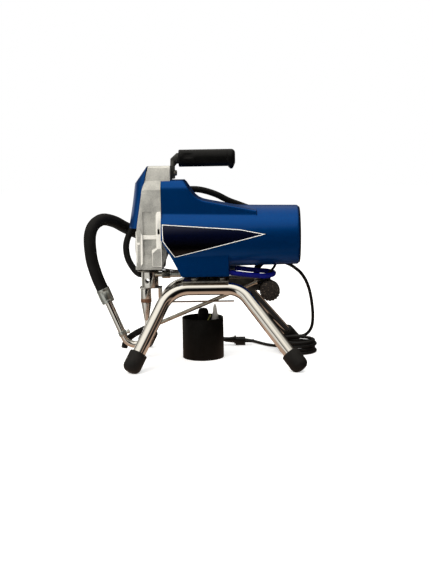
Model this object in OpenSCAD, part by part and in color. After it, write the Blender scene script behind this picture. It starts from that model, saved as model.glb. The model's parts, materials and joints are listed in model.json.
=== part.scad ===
// Airless paint sprayer: a piston pump driven by a motor through two gear steps,
// on a stand of two bent tubes. Millimetres, +Z up, standing on z = 0.

/* [Machine] */
// Distance from the middle of the stand to the middle of the whole machine
machine_x = 45.6; // [40:0.1:50]
// Running clearance between a shaft and its bore
run_fit = 0.05; // [0.02:0.01:0.1]
// Gap between pieces that move past each other
move_gap = 0.3; // [0.2:0.05:0.5]

/* [Stand] */
// Outside diameter of the stand tube
tube_od = 25.4; // [24:0.2:27]
// Wall of the stand tube
tube_wall = 2; // [1.5:0.1:3]
// Height of the centre of the straight top of each tube
stand_top = 150; // [148:1:152]
// Half the distance between the two tubes at the top
stand_half = 46; // [45:0.5:48]
// Angle at which each tube's plane leans outwards
stand_lean = 29.3; // [27:0.1:31]
// X of the corner where the front leg and the top would meet
front_corner = -90.5; // [-93:0.5:-88]
// X of the corner where the rear leg and the top would meet
rear_corner = 46.5; // [44:0.5:49]
// Slope of the front legs from the vertical, within the tube's plane
front_slope = 24; // [22:0.5:26]
// Slope of the rear legs from the vertical, within the tube's plane
rear_slope = 35; // [33:0.5:37]
// Bend radius of the front corner
front_bend = 58; // [54:1:62]
// Bend radius of the rear corner
rear_bend = 50; // [46:1:54]
// Outside diameter of a rubber foot
foot_od = 35; // [33:0.5:37]
// Length of a rubber foot along its leg
foot_len = 40; // [36:1:44]
// Rubber left under the end of the tube
foot_floor = 8; // [6:0.5:10]
// Rounding of a foot's lower edge
foot_round = 12; // [10:0.5:13]
// Depth of the flat that a foot stands on
foot_flat = 1.5; // [1:0.1:2.5]
// Thickness of the plate that joins the tubes
plate_t = 3; // [2:0.5:4]
// Height of a rubber isolator
isolator_h = 7.3; // [6:0.1:8]

/* [Drive housing] */
// X of the seam between the drive housing and the gear case
seam_x = -105; // [-106:0.5:-104]
// Half the width of the housing
housing_half = 46; // [45:0.5:48]
// Height of the housing's top
housing_top = 389; // [387:0.5:391]
// Height of the underside of the housing's flange
flange_z = 189; // [188:0.5:190]
// Wall of the castings
cast_wall = 5; // [4:0.5:6]
// Wall of the moulded covers
cover_wall = 2.5; // [2:0.1:3]

/* [Gear train] */
// Height of the motor's axis
motor_z = 250; // [249:0.5:251]
// Tooth size of the first gear step
module_1 = 1; // [1:0.05:1.05]
// Tooth size of the second gear step
module_2 = 1.25; // [1.2:0.05:1.3]
// Teeth of the motor pinion
pinion_teeth = 12; // [12:1:13]
// Teeth of the large cluster gear
cluster_teeth = 48; // [46:1:48]
// Teeth of the small cluster gear
small_teeth = 14; // [14:1:15]
// Teeth of the crank gear
crank_teeth = 42; // [40:1:42]
// Distance of the crank pin from the crank's axis
crank_throw = 11; // [9:0.5:11]
// Diameter of the crank pin
pin_d = 17; // [15:0.5:18]
// Distance between the crank pin and the wrist
rod_len = 86; // [85:0.5:87]

/* [Motor] */
// Outside diameter of the motor can
can_od = 100; // [96:1:104]
// Length of the motor can
can_len = 168; // [160:1:170]
// Radius of the shroud's barrel at its front
barrel_r1 = 63; // [62:0.5:64]
// Radius of the shroud's barrel at its rear
barrel_r2 = 58.5; // [57.5:0.5:60]
// X of the shroud's rear edge
barrel_end = 163; // [160:1:165]
// Half the width of the shroud's tower
tower_half = 43; // [42:0.5:44]
// How far the skirt's sides stand in from the barrel's side
skirt_inset = 13; // [12:0.5:14]

/* [Pump] */
// X of the pump's axis
pump_x = -134.5; // [-135:0.5:-134]
// Outside diameter of the pump sleeve
sleeve_od = 34; // [32:0.5:36]
// Diameter of the displacement rod
ram_d = 12; // [11:0.5:12.5]
// Diameter of the cross window in the sleeve
window_d = 9.5; // [8:0.5:10]
// Diameter of the inlet ball
ball_d = 9; // [8.5:0.5:9.5]
// Travel of the inlet ball
ball_travel = 2.5; // [2:0.5:3]

/* [Handle] */
// Diameter of the handle grip
grip_d = 33.5; // [32:0.5:35]
// Length of the handle grip
grip_len = 111; // [106:1:114]
// Height of the grip's axis above the tower
grip_rise = 41.5; // [40:0.5:43]
// Diameter of the handle bar
bar_d = 21; // [19:0.5:22]

/* [Hoses and cord] */
// Outside diameter of the suction hose
suction_d = 25; // [23:0.5:26]
// Outside diameter of the suction tube
suction_tube_d = 14.5; // [13:0.5:16]
// Wall of the suction tube
suction_wall = 1.5; // [1:0.1:2]
// Outside diameter of the return hoses
return_d = 13; // [12:0.5:13.5]
// Outside diameter of the whip hose
whip_d = 10; // [9:0.5:10.5]
// Outside diameter of the mains cord
cord_d = 6.6; // [6:0.1:6.8]
// Outside diameter of the drain tube
drain_d = 8; // [7:0.5:9]

/* [Knobs and switches] */
// Diameter of the pressure knob
knob_d = 40; // [36:1:42]
// Thickness of the pressure knob
knob_t = 20; // [16:1:22]
// Length of the prime lever
lever_len = 26; // [22:1:28]

/* [Cup] */
// Outside diameter of the cup
cup_d = 84; // [80:1:86]
// Height of the cup
cup_h = 83; // [78:1:86]
// Wall of the cup
cup_wall = 2.5; // [2:0.5:4]

/* [Hidden] */
$fn = 64;

// ---- derived sizes: gear train, from the motor's axis upwards ----
cluster_z = motor_z + module_1 * (pinion_teeth + cluster_teeth) / 2;
crank_z = cluster_z + module_2 * (small_teeth + crank_teeth) / 2;
crank_pin_z = crank_z + crank_throw;
wrist_z = crank_pin_z - rod_len;
// stations along X
front_gears = [seam_x + 1, seam_x + 10];
rear_gears = [seam_x + 11, seam_x + 19];
case_wall = [seam_x + 21, seam_x + 29];
main_bearing = [seam_x - 11, seam_x];
can_x = [case_wall[1], case_wall[1] + can_len];
bell_end = can_x[1] + 16;
fan_x = [bell_end + 6, bell_end + 20];
chamber_rear = main_bearing[0] - 1;
chamber_front = cast_wall - 154;
chamber_half = housing_half - 2 * cast_wall;
shaft_r = 6;
journal_r = 10;
tail_r = 5;
spindle_r = 4;
main_bearing_r = 21;
small_bearing_r = 8;
tail_bearing_r = 9.5;
motor_bearing_r = 14;
bell_bearing_r = 11;
// con-rod and pump rod
rod_half_t = 8;
head_half_t = 6;
ear_t = 5;
head_half_h = 11;
ear_r = 9;
pump_sleeve_z = [149, 205];
window_z = 163;
window_x = pump_x - 4;
outlet_y = -8;
outlet_z = 175;
valve_x = -143.5;
yoke_z = 147;
ring_z = [118, 125];
cone_z = [81, 118];
ball_seat_z = 106;
ball_seat_r = 3;
ball_rest_z = ball_seat_z + sqrt(pow(ball_d / 2, 2) - pow(ball_seat_r, 2)) + run_fit;
// suction tube: a slope, a bend and a short riser in the plane y = 0
suction_slope = 22.5;
suction_bend = 24;
suction_bend_z = 55;
suction_top_z = 118;
riser_top = 62;
// housing outlines
chamfer_z = [344, 361];
block_half = 34;
block_top_half = 31;
shroud_top = 362;
shroud_chamfer_z = 347;
grip_z = shroud_top + grip_rise;
skirt_half = barrel_r1 - skirt_inset;
skirt_z = 173;
skirt_rear = 27;
// manifold, switch and valve under the plate
plate_z = stand_top + tube_od / 2;
isolator_z = plate_z + plate_t;
manifold_box = [[4, 11, 137], [88, 31, plate_z]];
knob_at = [105, -30, 141];
switch_at = [101, -9.7, 144];
switch_r = 17;
valve_at = [80, 31, 152];
valve_r = 9;
valve_len = 26;
box_x = [22, 92];
box_z = [215, 262];
box_face_y = barrel_r1 + 17;
board_y = box_face_y - 14;
rocker_at = [72, box_face_y - 6, 239];
rocker_r = 11.5;
rocker_w = 13;
rocker_tilt = 7;
cup_at = [-31, 19];

// ---- routes of the hoses and the cord: points chosen by hand ----
suction_route = [
    [-238, -3, 164], [-243, -8, 182], [-248, -12, 204], [-250, -14, 224],
    [-251, -13, 243], [-250, -9, 258], [-246, -1, 271], [-238, 9, 280], [-226, 23, 284],
    [-208, 46, 277], [-190, 66, 264], [-166, 80, 251], [-136, 88, 240], [-100, 90, 231],
    [-66, 90, 226], [-46, 90, 226], [-34, 90, 226],
];
whip_route = [
    [-71, -8, 175], [-62, -8, 175], [-52, -12, 178.5], [-42, -19, 183], [-22, -28, 185],
    [0, -34, 184], [27, -36, 180], [50, -37, 177], [74, -36, 174], [94, -31, 172],
    [107, -20, 172], [113, -6, 173], [112, 8, 174], [103, 18, 175], [88, 23, 176],
    [66, 25, 178], [45, 24, 181], [36, 24, 181],
];
return_route = [
    [-153.6, 19.1, 172], [-158.6, 24.1, 172], [-166, 28.5, 177], [-174, 30, 188], [-180.5, 29.5, 201],
    [-184, 30, 216], [-184.5, 34, 232], [-180, 42, 249], [-170, 54, 268], [-152, 62, 290],
    [-126, 68, 312], [-100, 71, 328], [-76, 71, 337], [-53, 70, 340], [-30, 70, 338],
    [-2, 72, 329], [25, 76, 315], [48, 79, 306], [76, 83, 294], [97, 86, 279],
    [110, 87, 260], [113, 82, 238], [107, 72, 213], [95, 58, 193], [83.5, 47, 182], [80, 43, 173],
    [80, 43, 164],
];
drain_route = [
    [-122, 5.8, 71.9], [-127.6, 5.8, 69.6], [-135, 12.3, 66.3], [-143, 16.5, 62.8], [-154, 17.5, 58],
    [-167, 17.5, 51.5], [-178, 17.5, 44.5], [-187, 17.5, 36], [-191.5, 17.5, 28], [-193, 17.5, 21],
];
drain_tube_ends = [[-122, 5.8, 71.9], [80, 5.8, 155.5]];
wire_hole_r = 3.4;
switch_wire = [
    [118, 2, 192], [115, 1, 186], [110, -2, 180], [103, -4, 174], [97, -5, 169],
    [97, -4, 165], [97, -4, 161],
];
sensor_wire = [
    [-112, -15, 187], [-104, -15, 186.5], [-92, -15, 184.5], [-80, -17, 183.5], [-66, -20, 184],
    [-54, -24, 190], [-46, -27, 200],
];
cord_route = [
    [150, 20, 186], [156.2, 20.8, 181.4], [162.6, 23.2, 176.2], [168.8, 28.4, 170], [174.6, 36, 161.8],
    [181, 44, 150.6], [187.4, 50.4, 133.5], [192, 56.4, 113.5], [194.8, 63.2, 94.5], [196.4, 70.5, 79.5],
    [197, 78, 66.5], [196.6, 85.4, 54.6], [195, 91.2, 45], [191.8, 95.2, 37.4], [187.2, 97.1, 31.4],
    [181.6, 97.5, 27.4], [175.6, 97.5, 25.3], [169.6, 97.5, 24.7],
];
tail_route = [
    [156.4, 97.5, 3.4], [148, 97.5, 3.4], [134, 98, 3.4], [118, 103, 3.4], [103, 114, 3.4],
    [89, 131, 3.4], [76, 149, 3.4], [60, 166, 3.4], [40, 178, 3.4], [16, 184.8, 3.4],
    [1, 186.9, 3.4], [-13, 186.4, 3.4], [-25.6, 182, 3.4], [-35.4, 173.6, 3.4], [-41, 162, 3.4],
    [-41.2, 149.4, 3.4], [-36, 138.4, 3.6], [-26.4, 131.2, 4.8], [-14.6, 129.2, 7.2], [-4, 131.2, 9.6],
    [3.4, 133.6, 10.9], [10, 135, 11],
];
coil_at = [163, 58];
coil_in_r = 28.5;
coil_pitch = 7.3;
coil_turns = 1.5;
coil_layers = 4;
coil_step = 15;
coil_z = 3.4;
coil_rise = 7.1;
plug_at = [31, 135, 11];

// ---- functions ----
function unit(v) = v / norm(v);
function arc(c, r, a0, a1, n) =
    [for (i = [0 : n]) let (a = a0 + (a1 - a0) * i / n) [c[0] + r * cos(a), c[1] + r * sin(a)]];
// a polygon drawn in by w, each corner moved along its mitre; points run counter-clockwise
function inset(p, w) = let (n = len(p)) [
    for (i = [0 : n - 1])
        let (d1 = unit(p[i] - p[(i + n - 1) % n]), d2 = unit(p[(i + 1) % n] - p[i]),
             n1 = [-d1[1], d1[0]], n2 = [-d2[1], d2[0]])
        p[i] + w * (n1 + n2) / (1 + n1 * n2)];
// a smooth curve through the route's points, with k steps between neighbours
function smooth(p, k) = let (n = len(p)) [
    for (i = [0 : n - 2], j = [0 : (i == n - 2 ? k : k - 1)])
        let (t = j / k, a = p[max(i - 1, 0)], b = p[i], c = p[i + 1], d = p[min(i + 2, n - 1)])
        0.5 * (2 * b + (c - a) * t + (2 * a - 5 * b + 4 * c - d) * t * t
            + (3 * b - a - 3 * c + d) * t * t * t)];
// as smooth, but the first and last runs stay straight, square to what they meet
function laid(p, k) = let (n = len(p))
    concat([p[0]], smooth([for (i = [1 : n - 2]) p[i]], k), [p[n - 1]]);
function tangents(p) = let (n = len(p)) [
    for (i = [0 : n - 1]) unit(p[min(i + 1, n - 1)] - p[max(i - 1, 0)])];
function across(v) = unit(cross(v, abs(v[2]) < 0.9 ? [0, 0, 1] : [0, 1, 0]));
// the frame's side vector, carried along the curve without twist
function carried(t) = [
    for (i = 0, s = across(t[0]); i < len(t);
         i = i + 1, s = i < len(t) ? unit(s - (s * t[i]) * t[i]) : s) s];
function ease(t) = t * t * (3 - 2 * t);

// ---- shapes used by several pieces ----
module placed() { translate([machine_x, 0, 0]) children(); }
// a tube swept along points p as one closed polyhedron
module swept(p, r, sides = 10) {
    t = tangents(p);
    s = carried(t);
    n = len(p);
    pts = [for (i = [0 : n - 1], k = [0 : sides - 1])
        let (a = 360 * (k + 0.5) / sides) p[i] + r * (cos(a) * s[i] + sin(a) * cross(t[i], s[i]))];
    walls = [for (i = [0 : n - 2], k = [0 : sides - 1])
        let (a = i * sides + k, b = i * sides + (k + 1) % sides)
        each [[a, a + sides, b], [b, a + sides, b + sides]]];
    first = [for (k = [1 : sides - 2]) [0, k, k + 1]];
    last = [for (k = [1 : sides - 2]) [(n - 1) * sides, (n - 1) * sides + k + 1, (n - 1) * sides + k]];
    polyhedron(points = pts, faces = concat(walls, first, last));
}
// a pipe swept along points p: an outer wall, an inner wall and a ring at each end
module pipe(p, r, wall, sides = 24) {
    t = tangents(p);
    s = carried(t);
    n = len(p);
    pts = [for (q = [r, r - wall], i = [0 : n - 1], k = [0 : sides - 1])
        let (a = 360 * (k + 0.5) / sides) p[i] + q * (cos(a) * s[i] + sin(a) * cross(t[i], s[i]))];
    walls = [for (i = [0 : n - 2], k = [0 : sides - 1])
        let (a = i * sides + k, b = i * sides + (k + 1) % sides, c = a + n * sides, d = b + n * sides)
        each [[a, a + sides, b], [b, a + sides, b + sides], [c, d, c + sides], [d, d + sides, c + sides]]];
    ends = [for (k = [0 : sides - 1])
        let (a = k, b = (k + 1) % sides, c = a + n * sides, d = b + n * sides, e = (n - 1) * sides)
        each [[a, b, d], [a, d, c], [b + e, a + e, c + e], [b + e, c + e, d + e]]];
    polyhedron(points = pts, faces = concat(walls, ends));
}
// a straight cylinder or cone between two points
module rod(a, b, r, r2 = -1) {
    v = b - a;
    translate(a) rotate([0, acos(v[2] / norm(v)), atan2(v[1], v[0])])
        cylinder(h = norm(v), r1 = r, r2 = r2 < 0 ? r : r2);
}
// cylinders along X and along Y
module disc_x(x, r, y = 0, z = 0) { translate([x[0], y, z]) rotate([0, 90, 0]) cylinder(h = x[1] - x[0], r = r); }
module disc_y(y, r, x = 0, z = 0) { translate([x, y[0], z]) rotate([-90, 0, 0]) cylinder(h = y[1] - y[0], r = r); }
module ring_x(x, r, bore, y = 0, z = 0) {
    difference() { disc_x(x, r, y, z); disc_x([x[0] - 1, x[1] + 1], bore, y, z); }
}
// a side view (X, Z) made h wide across Y, and a front view (Y, Z) made long along X
module side_view(p, h) { rotate([90, 0, 0]) linear_extrude(h, center = true) polygon(p); }
module front_view(p, x) { translate([x[0], 0, 0]) rotate([90, 0, 90]) linear_extrude(x[1] - x[0]) polygon(p); }
module block(a, b) { translate(a) cube(b - a); }
module far() { mirror([0, 1, 0]) children(); }

// ---- stand ----
function corner_cut(bend, slope) = bend * tan((90 - slope) / 2);
// the near tube's plane: local x is X, local y runs up the lean, origin at the top's height
module near_plane() {
    translate([0, -stand_half, stand_top]) rotate([90 - stand_lean, 0, 0]) children();
}
// local z runs down a leg from the corner where its centre line meets the top's
module along_leg(corner, turn) {
    near_plane() translate([corner, 0, 0]) rotate([0, 0, turn]) rotate([0, 90, 0]) children();
}
module front_leg() { along_leg(front_corner, 270 - front_slope) children(); }
module rear_leg() { along_leg(rear_corner, 270 + rear_slope) children(); }
// how far down a leg its foot's rim lies, so that the foot's round end dips below the floor
function leg_down(slope) = cos(slope) * cos(stand_lean);
function rim_at(slope) = let (c = leg_down(slope), s = sqrt(1 - c * c))
    (stand_top + foot_flat - foot_round - s * (foot_od / 2 - foot_round)) / c - (foot_len - foot_round);
// the tube's centre line in its plane, from the end of the front leg to the end of the rear leg
function stand_line() = let (
        cut_f = corner_cut(front_bend, front_slope), cut_r = corner_cut(rear_bend, rear_slope),
        leg_f = rim_at(front_slope) + foot_len - foot_floor, leg_r = rim_at(rear_slope) + foot_len - foot_floor)
    concat([[front_corner - leg_f * sin(front_slope), -leg_f * cos(front_slope)]],
        arc([front_corner + cut_f, -front_bend], front_bend, 180 - front_slope, 90, 9),
        arc([rear_corner - cut_r, -rear_bend], rear_bend, 90, rear_slope, 8),
        [[rear_corner + leg_r * sin(rear_slope), -leg_r * cos(rear_slope)]]);
bolt_x = [-42, 12];
bolt_r = 4;
bolt_depth = 10;
module stand_tube() {
    difference() {
        near_plane() pipe([for (p = stand_line()) [p[0], p[1], 0]], tube_od / 2, tube_wall);
        for (x = bolt_x) translate([x, -stand_half, stand_top]) cylinder(h = tube_od, r = bolt_r + run_fit);
    }
}
module foot_solid(slope) {
    r = foot_od / 2;
    translate([0, 0, rim_at(slope)]) difference() {
        rotate_extrude() polygon(concat([[0, 0], [r - 1, 0], [r, 1]],
            arc([r - foot_round, foot_len - foot_round], foot_round, 0, 90, 8), [[0, foot_len]]));
        translate([0, 0, -1]) cylinder(h = foot_len - foot_floor + 1, r = tube_od / 2 + run_fit);
    }
}
module on_floor() {
    difference() { children(); block([-400, -400, -60], [400, 400, 0]); }
}
module rubber() { color([0.07, 0.07, 0.07]) children(); }
module chrome() { color([0.82, 0.83, 0.84]) children(); }
module casting() { color([0.72, 0.72, 0.70]) children(); }
module blue() { color([0.02, 0.20, 0.42]) children(); }
module black() { color([0.06, 0.06, 0.07]) children(); }
module steel() { color([0.60, 0.60, 0.58]) children(); }
module brass() { color([0.71, 0.58, 0.32]) children(); }

module stand_tube_near() { chrome() placed() stand_tube(); }
module stand_tube_far() { chrome() placed() far() stand_tube(); }
module foot_front_near() { rubber() placed() on_floor() front_leg() foot_solid(front_slope); }
module foot_front_far() { rubber() placed() on_floor() far() front_leg() foot_solid(front_slope); }
module foot_rear_near() { rubber() placed() on_floor() rear_leg() foot_solid(rear_slope); }
module foot_rear_far() { rubber() placed() on_floor() far() rear_leg() foot_solid(rear_slope); }

plate_x = [-66, 24];
plate_half = 58;
tongue_end = 88;
elbow_at = [10, 24];
module mount_plate() {
    steel() placed() difference() {
        union() {
            block([plate_x[0], -plate_half, plate_z], [plate_x[1], plate_half, plate_z + plate_t]);
            block([plate_x[1] - 1, 0, plate_z], [tongue_end, 31, plate_z + plate_t]);
        }
        for (x = bolt_x, y = [-stand_half, stand_half])
            translate([x, y, plate_z - 1]) cylinder(h = plate_t + 2, r = bolt_r + run_fit);
        translate([elbow_at[0], elbow_at[1], plate_z - 1]) cylinder(h = plate_t + 2, r = 7 + move_gap);
    }
}
isolator_x = [-30, -8];
isolator_y = 26;
cradle_z = isolator_z + isolator_h;
module isolators() {
    rubber() placed() for (x = isolator_x, y = [-isolator_y, isolator_y]) translate([x, y, isolator_z])
        cylinder(h = isolator_h, r = 9);
}
cradle_x = [-44, 16];
cradle_gap = 2.5;
cradle_half = skirt_half - cover_wall - cradle_gap;
module motor_cradle() {
    black() placed() difference() {
        union() {
            block([cradle_x[0], -cradle_half, cradle_z], [cradle_x[1], cradle_half, cradle_z + plate_t]);
            for (y = [-cradle_half, cradle_half - plate_t])
                block([cradle_x[0], y, cradle_z], [cradle_x[1], y + plate_t, motor_z]);
        }
        disc_x([cradle_x[0] - 1, cradle_x[1] + 1], can_od / 2, 0, motor_z);
        translate([elbow_at[0], elbow_at[1], cradle_z - 1]) cylinder(h = plate_t + 2, r = 9);
    }
}

// ---- fasteners: plate bolts, handle bolts, housing screws ----
handle_bolt_z = 375;
handle_bolt_y = 12;
flange_screws = [[-150, -38], [-150, 38], [-110, -38], [-110, 38]];
module fasteners() {
    steel() placed() {
        for (x = bolt_x, y = [-stand_half, stand_half]) translate([x, y, 0]) {
            translate([0, 0, isolator_z]) cylinder(h = 5.2, r = 7, $fn = 6);
            translate([0, 0, isolator_z - bolt_depth]) cylinder(h = bolt_depth + 1, r = bolt_r);
        }
        for (y = [-handle_bolt_y, handle_bolt_y]) {
            disc_x([strip_x[1], strip_x[1] + 4], 5.5, y, handle_bolt_z, $fn = 6);
            disc_x([strip_x[0] - 9, strip_x[1] + 1], 3, y, handle_bolt_z);
        }
        for (p = flange_screws) translate([p[0], p[1], 0]) {
            translate([0, 0, flange_z - 4]) cylinder(h = 4, r = 4.5);
            translate([0, 0, flange_z - 1]) cylinder(h = 12, r = 2.5);
        }
    }
}

// ---- drive housing ----
housing_side = [[-157, flange_z], [-104.9, flange_z], [-104.9, housing_top], [-129, housing_top],
    [-137, 357.5], [-141, 344], [-152, 276.5], [-154, 263], [-154, flange_z + 6], [-157, flange_z + 6]];
function front_section(half) = [[-half, flange_z], [half, flange_z], [half, chamfer_z[0]],
    [block_half, chamfer_z[1]], [block_top_half, housing_top - 3], [block_top_half - 3, housing_top],
    [3 - block_top_half, housing_top], [-block_top_half, housing_top - 3], [-block_half, chamfer_z[1]],
    [-half, chamfer_z[0]]];
window_ring_z = wrist_z - 9.5;
window_ring_r = [15, 18.5];
module housing_block() {
    intersection() {
        side_view([for (p = housing_side) [min(p[0], seam_x), p[1]]], 2 * housing_half + 20);
        front_view(front_section(housing_half), [-160, seam_x]);
    }
}
// raised strip down the rear of each side, with its step at the bottom
strip_side = [[-124, 217], [-113, 208], [-113, flange_z + 6], [seam_x, flange_z + 6], [seam_x, 302],
    [-112, 302], [-115, 296], [-115, 232], [-124, 228]];
lug_side = [[-155, 196], [-148, 192], [-141, 200], [-141, 256], [-147, 268.5], [-155, 264]];
module gear_housing() {
    casting() placed() difference() {
        union() {
            difference() {
                housing_block();
                // crank chamber, open to the front above the window wall
                block([chamber_front, -chamber_half, flange_z + 6], [chamber_rear, chamber_half, 344]);
                block([-160, -chamber_half, 262], [chamber_rear, chamber_half, 344]);
                block([-160, -28, 343], [chamber_rear, 28, 374]);
                // relief of the side faces on each side of the rib
                for (s = [-1, 1], z = [[216, 248], [257, 302]])
                    translate([0, s * housing_half, 0]) block([-141, -3, z[0]], [-124, 3, z[1]]);
            }
            for (s = [-1, 1]) translate([0, s * (housing_half + 1.5), 0]) {
                difference() {
                    side_view(strip_side, 5);
                    for (z = [260, 267]) disc_y([-4, 4], 2.2, -110, z);
                    block([-112.2, -4, 260], [-107.8, 4, 267]);
                }
                side_view(lug_side, 4);
            }
            block([-157, -housing_half, flange_z], [seam_x, housing_half, flange_z + 6]);
            disc_x([-160, -150], window_ring_r[1], 0, window_ring_z);
        }
        disc_x([-161, -148], window_ring_r[0], 0, window_ring_z);
        translate([pump_x, 0, flange_z - 1]) cylinder(h = pump_sleeve_z[1] - flange_z + 2, r = sleeve_od / 2 + run_fit);
        disc_x([main_bearing[0], seam_x + 1], main_bearing_r + run_fit, 0, crank_z);
        disc_x([chamber_rear - 1, seam_x + 1], journal_r + 3, 0, crank_z);
        disc_x([seam_x - 7, seam_x + 1], small_bearing_r + run_fit, 0, cluster_z);
        for (p = flange_screws) translate([p[0], p[1], flange_z - 1]) cylinder(h = 12.2, r = 2.5 + run_fit);
    }
}
// moulded cover over the housing's open front, a pointed shell
cover_levels = [[270, -172, -153.2, housing_half], [320, -163, -145, housing_half], [356, -158, -137.5, 38],
    [housing_top, -133.5, -129, block_top_half]];
function nose_plan(tip, edge, half) = concat([for (a = [-90 : 15 : 90])
    [edge - (edge - tip) * pow(cos(a), 0.8), half * sin(a)]], [[edge + 8, half], [edge + 8, -half]]);
module cover_solid(w) {
    for (i = [0 : len(cover_levels) - 2]) hull() for (k = [i, i + 1]) {
        c = cover_levels[k];
        translate([0, 0, c[0] - (k == len(cover_levels) - 1 ? w + 0.1 : 0) - (k == 0 ? (w > 0 ? 2 : 0) : 0)])
            linear_extrude(0.1) polygon(nose_plan(c[1] + w, c[2] + w, c[3] - w));
    }
}
module front_cover() {
    blue() placed() difference() {
        cover_solid(0);
        cover_solid(cover_wall);
        side_view([for (p = housing_side) [p[0] - 0.02, p[1] + (p[1] > 380 ? 20 : 0)]], 200);
    }
}
// gear case behind the seam: two gear steps, the motor's front bearing, the handle's foot
case_side = [[seam_x, 196], [-97, 214], [-97, 228], [-90, 232], [case_wall[1], 232],
    [case_wall[1], 352], [-87, 352], [-87, housing_top], [seam_x, housing_top]];
strip_x = [-87, -80];
module gear_case() {
    casting() placed() difference() {
        intersection() {
            side_view(case_side, 200);
            front_view(front_section(block_half), [seam_x, case_wall[1]]);
        }
        disc_x([seam_x - 1, case_wall[0]], 30, 0, crank_z);
        disc_x([seam_x - 1, case_wall[0]], 27, 0, cluster_z);
        disc_x([seam_x - 1, case_wall[0]], 12, 0, motor_z);
        disc_x([case_wall[0] - 1, case_wall[0] + 6], tail_bearing_r + run_fit, 0, crank_z);
        disc_x([case_wall[0] - 1, case_wall[0] + 6], small_bearing_r + run_fit, 0, cluster_z);
        disc_x([case_wall[0] - 1, case_wall[1] + 1], motor_bearing_r + run_fit, 0, motor_z);
        for (y = [-handle_bolt_y, handle_bolt_y]) disc_x([strip_x[0] - 9.2, -80], 3 + run_fit, y, handle_bolt_z);
    }
}
// a sealed ball bearing: both races with a shield groove between them
module bearing(x, r, bore, z) {
    mid = (r + bore) / 2;
    difference() {
        ring_x(x, r, bore + run_fit, 0, z);
        for (e = [[x[0] - 1, x[0] + 0.6], [x[1] - 0.6, x[1] + 1]]) ring_x(e, mid + (r - bore) / 5, mid - (r - bore) / 5, 0, z);
    }
}
module ball_bearings() {
    steel() placed() {
        bearing(main_bearing, main_bearing_r, journal_r, crank_z);
        bearing([case_wall[0], case_wall[0] + 6], tail_bearing_r, tail_r, crank_z);
        bearing([seam_x - 7, seam_x], small_bearing_r, spindle_r, cluster_z);
        bearing([case_wall[0], case_wall[0] + 6], small_bearing_r, spindle_r, cluster_z);
        bearing([case_wall[0], case_wall[1]], motor_bearing_r, shaft_r, motor_z);
        bearing([bell_end - 9, bell_end - 2], bell_bearing_r, shaft_r, motor_z);
    }
}

// ---- motor ----
can_r = can_od / 2;
magnet_r = [can_r - 10, can_r - 2.5];
module motor_can() {
    steel() placed() difference() {
        disc_x(can_x, can_r, 0, motor_z);
        disc_x([can_x[0] + 3, can_x[1] + 1], magnet_r[1], 0, motor_z);
        disc_x([can_x[0] - 1, can_x[0] + 4], motor_bearing_r + 1, 0, motor_z);
    }
}
module field_magnets() {
    black() placed() for (a = [0 : 90 : 270]) translate([0, 0, motor_z]) rotate([a, 0, 0]) intersection() {
        ring_x([can_x[0] + 20, can_x[1] - 50], magnet_r[1], magnet_r[0]);
        block([can_x[0], -30, 20], [can_x[1], 30, can_r + 1]);
    }
}
commutator_x = [can_x[1] - 24, can_x[1] - 4];
commutator_r = 16;
module brush_end_bell() {
    casting() placed() {
        difference() {
            disc_x([can_x[1], bell_end], can_r, 0, motor_z);
            disc_x([can_x[1] - 1, bell_end - 9], can_r - 6, 0, motor_z);
            disc_x([bell_end - 10, bell_end - 2], bell_bearing_r + run_fit, 0, motor_z);
            disc_x([bell_end - 3, bell_end + 1], shaft_r + move_gap, 0, motor_z);
            for (a = [45 : 90 : 315]) translate([0, 0, motor_z]) rotate([a, 0, 0])
                block([bell_end - 12, -7, 24], [bell_end + 1, 7, 40]);
        }
        // four brush holders standing in from the can around the commutator
        for (a = [45 : 90 : 315]) translate([0, 0, motor_z]) rotate([a, 0, 0])
            block([commutator_x[0] + 4, -4, commutator_r + move_gap], [commutator_x[0] + 14, 4, magnet_r[1] - 0.4]);
    }
}

// ---- shroud ----
tower_side = [[seam_x, 285], [79, 285], [83, 292], [81, 301], [-18, 321], [-26, 323], [-34, 326.5], [-41, 332],
    [-47, 339.5], [-53, 349.5], [-58, 357.5], [-62, shroud_top], [seam_x, shroud_top]];
tower_front = [[-tower_half, 285], [tower_half, 285], [tower_half, shroud_chamfer_z], [block_half, shroud_top],
    [-block_half, shroud_top], [-tower_half, shroud_chamfer_z]];
skirt_side = [[seam_x, skirt_z], [skirt_rear, skirt_z], [skirt_rear, 212], [-10, 250], [seam_x, 250]];
module tower(w) {
    intersection() {
        side_view(inset(tower_side, w), 200);
        front_view(inset(tower_front, w), [seam_x - 4, barrel_end]);
    }
}
module barrel(x0, x1, w) {
    grow = (barrel_r2 - barrel_r1) / (barrel_end - seam_x);
    translate([x0, 0, motor_z]) rotate([0, 90, 0])
        cylinder(h = x1 - x0, r1 = barrel_r1 - w + grow * (x0 - seam_x), r2 = barrel_r1 - w + grow * (x1 - seam_x));
}
module front_cutaway() {
    side_view([[seam_x - 10, 248], [seam_x - 4, 248.05], [-66.4, skirt_z - 0.1], [seam_x - 10, skirt_z - 3]], 200);
}
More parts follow.
